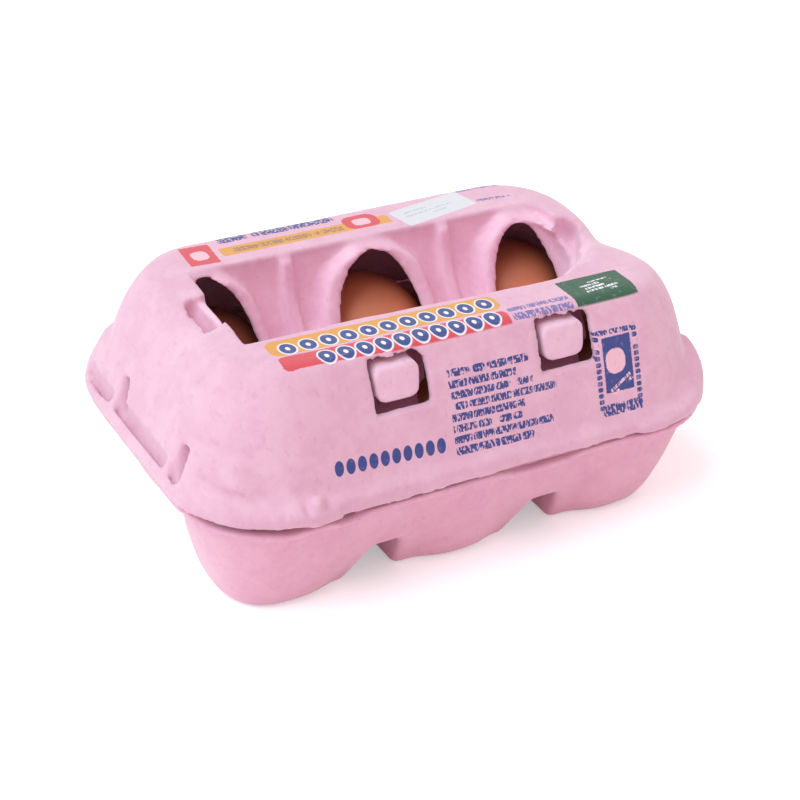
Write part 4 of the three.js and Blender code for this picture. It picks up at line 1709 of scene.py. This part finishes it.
@dataclass(frozen=True)
class EggshellFinish:
    """Brown eggshell: satin, speckled and finely pored."""

    light: Colour = (0.82, 0.235, 0.112)
    dark: Colour = (0.25, 0.064, 0.036)
    speckle: Colour = (0.24, 0.06, 0.032)
    roughness: float = 0.46
    bump: float = 0.15
    bump_depth: float = 0.0002

    def material(self) -> bpy.types.Material:
        """Makes the material, each egg's tone and painted shade shifting it between light and dark."""
        material, made, shader = new_material("brown_eggshell")
        coords = made.add("ShaderNodeTexCoord").outputs["Object"]
        # the attribute holds each egg's own tone less its painted shade at the blunt end
        tone = made.add("ShaderNodeAttribute", attribute_name=EGG_TONE_AND_SHADE).outputs["Fac"]
        cloud = made.math("MULTIPLY_ADD", made.noise(coords, 60.0, 3.0), 0.5, -0.25)
        share = made.math("ADD", tone, cloud, clamp=True)
        colour = made.blend(share, self.dark, self.light)
        spots = made.spread(made.noise(coords, 900.0, 2.0, 0.7), 0.66, 0.74)
        colour = made.blend(made.math("MULTIPLY", spots, 0.6), colour, self.speckle)
        made.feed(shader.inputs["Base Color"], colour)
        pores = made.noise(coords, 2600.0, 2.0)
        rough = made.spread(pores, 0.3, 0.7, self.roughness + 0.06, self.roughness - 0.04)
        made.feed(shader.inputs["Roughness"], rough)
        made.feed(shader.inputs["Normal"], made.bump(pores, self.bump, self.bump_depth))
        return material


def new_material(name: str) -> tuple[bpy.types.Material, NodeTree, bpy.types.Node]:
    """Starts a material.

    Args:
        name: The material's name.

    Returns:
        The material, its tree and its Principled shader.
    """
    material = bpy.data.materials.new(name)
    material.use_nodes = True
    made = NodeTree(material.node_tree)
    shader = next(node for node in made.tree.nodes if node.type == "BSDF_PRINCIPLED")
    return material, made, shader


def dress(piece: bpy.types.Object, material: bpy.types.Material) -> None:
    """Gives a piece its one material."""
    piece.data.materials.clear()
    piece.data.materials.append(material)


# ---- The studio ----


@dataclass
class Studio:
    """Camera, lights and floor."""

    azimuth: float = -30.417
    elevation: float = 30.728
    roll: float = 2.356
    distance: float = 503.558
    focal: float = 1848.167
    aim: tuple[float, float, float] = (0.0, 0.0, 35.0)
    aim_pixel: tuple[float, float] = (397.135, 368.517)
    frame_pixels: int = 800
    sensor: float = 36.0
    sun_way: tuple[float, float, float] = (-0.60, 0.06, 0.79)
    sun_spread: float = 55.0
    sun_strength: float = 2.4
    sun_colour: Colour = (0.60, 1.0, 0.99)
    world_colour: Colour = (1.0, 0.88, 0.885)
    world_strength: float = 0.83
    floor_colour: Colour = (0.92, 0.83, 0.85)
    floor_glow: Colour = (0.88, 1.0, 0.99)

    def camera(self) -> bpy.types.Object:
        """Makes the camera from its angles, its distance and where its aim falls in the frame."""
        turn, rise = math.radians(self.azimuth), math.radians(self.elevation)
        back = Vector((math.sin(turn) * math.cos(rise), -math.cos(turn) * math.cos(rise), math.sin(rise)))
        right = (-back).cross(Vector((0, 0, 1))).normalized()
        up = right.cross(-back)
        roll = math.radians(self.roll)
        side = right * math.cos(roll) + up * math.sin(roll)
        top = up * math.cos(roll) - right * math.sin(roll)
        middle = self.frame_pixels / 2
        shift_x = (self.aim_pixel[0] - middle) / self.focal * self.distance
        shift_y = (middle - self.aim_pixel[1]) / self.focal * self.distance
        place = Vector(self.aim) - side * shift_x - top * shift_y + back * self.distance
        data = bpy.data.cameras.new("camera")
        data.sensor_width = self.sensor
        data.lens = self.focal / self.frame_pixels * self.sensor
        data.clip_start, data.clip_end = 0.01, 20.0
        camera = bpy.data.objects.new("camera", data)
        turned = Matrix((side, top, back)).transposed().to_4x4()
        camera.matrix_world = Matrix.Translation(place * MM) @ turned
        bpy.context.scene.collection.objects.link(camera)
        bpy.context.scene.camera = camera
        return camera

    def sun(self) -> bpy.types.Object:
        """Makes one broad soft light that falls evenly over the whole floor."""
        way = Vector(self.sun_way)
        data = bpy.data.lights.new("soft_key", "SUN")
        data.angle = math.radians(self.sun_spread)
        data.energy = self.sun_strength
        data.color = self.sun_colour
        lamp = bpy.data.objects.new("soft_key", data)
        lamp.location = way.normalized()
        lamp.rotation_mode = "QUATERNION"
        lamp.rotation_quaternion = way.to_track_quat("Z", "Y")
        bpy.context.scene.collection.objects.link(lamp)
        return lamp

    def floor(self) -> bpy.types.Object:
        """Makes the pale floor that the carton stands on."""
        side = np.array([[-3, -3], [3, -3], [3, 3], [-3, 3]], float)
        mesh = bpy.data.meshes.new("floor")
        mesh.from_pydata(np.column_stack([side, np.full(4, -0.0002)]).tolist(), [], [(0, 1, 2, 3)])
        floor = bpy.data.objects.new("floor", mesh)
        bpy.context.scene.collection.objects.link(floor)
        material, made, shader = new_material("pale_floor")
        shader.inputs["Base Color"].default_value = (*self.floor_colour, 1)
        shader.inputs["Roughness"].default_value = 0.9
        shader.inputs["Emission Color"].default_value = (*self.floor_glow, 1)
        seen = made.add("ShaderNodeLightPath").outputs["Is Camera Ray"]
        made.feed(shader.inputs["Emission Strength"], made.spread(seen, 0.0, 1.0, 0.06, 0.36))
        dress(floor, material)
        return floor

    def build(self) -> None:
        """Makes the floor, the lights, the pale surroundings and the camera."""
        scene = bpy.context.scene
        scene.view_settings.view_transform = "Standard"
        world = bpy.data.worlds.new("studio")
        world.use_nodes = True
        background = world.node_tree.nodes["Background"]
        background.inputs[0].default_value = (*self.world_colour, 1)
        background.inputs[1].default_value = self.world_strength
        scene.world = world
        self.floor()
        self.sun()
        self.camera()


def main() -> None:
    """Builds the carton piece by piece, dresses it and sets up the studio."""
    logging.basicConfig(level=logging.INFO, format="%(name)s: %(message)s")
    shape = CartonShape()
    Studio().build()
    grain = pulp_group()
    # painted shade: the tray and folds use a more saturated copy of the pulp that stands in for the shade
    # on the tray's cups and webs
    shaded_tray_pulp = PulpFinish((0.785, 0.384, 0.507), (0.740, 0.338, 0.466)).material("tray_pulp_painted_shade", grain)
    # painted light: the flap uses a paler copy of the pulp that lifts the shade on its pads in the latch
    # holes
    lit_flap_pulp = PulpFinish((0.82, 0.480, 0.605), (0.775, 0.425, 0.560)).material("flap_pulp_painted_light", grain)
    marked = PulpFinish().material("printed_pulp", grain, MARKS)
    dress(Lid(shape).build(), marked)
    dress(Tray(shape).build(), shaded_tray_pulp)
    dress(LockFlap(shape).build(), lit_flap_pulp)
    eggshell = EggshellFinish().material()
    for egg in Eggs().build(shape):
        dress(egg, eggshell)
    for fold in FOLDS:
        dress(fold.build(shape), shaded_tray_pulp)


if __name__ == "__main__":
    main()
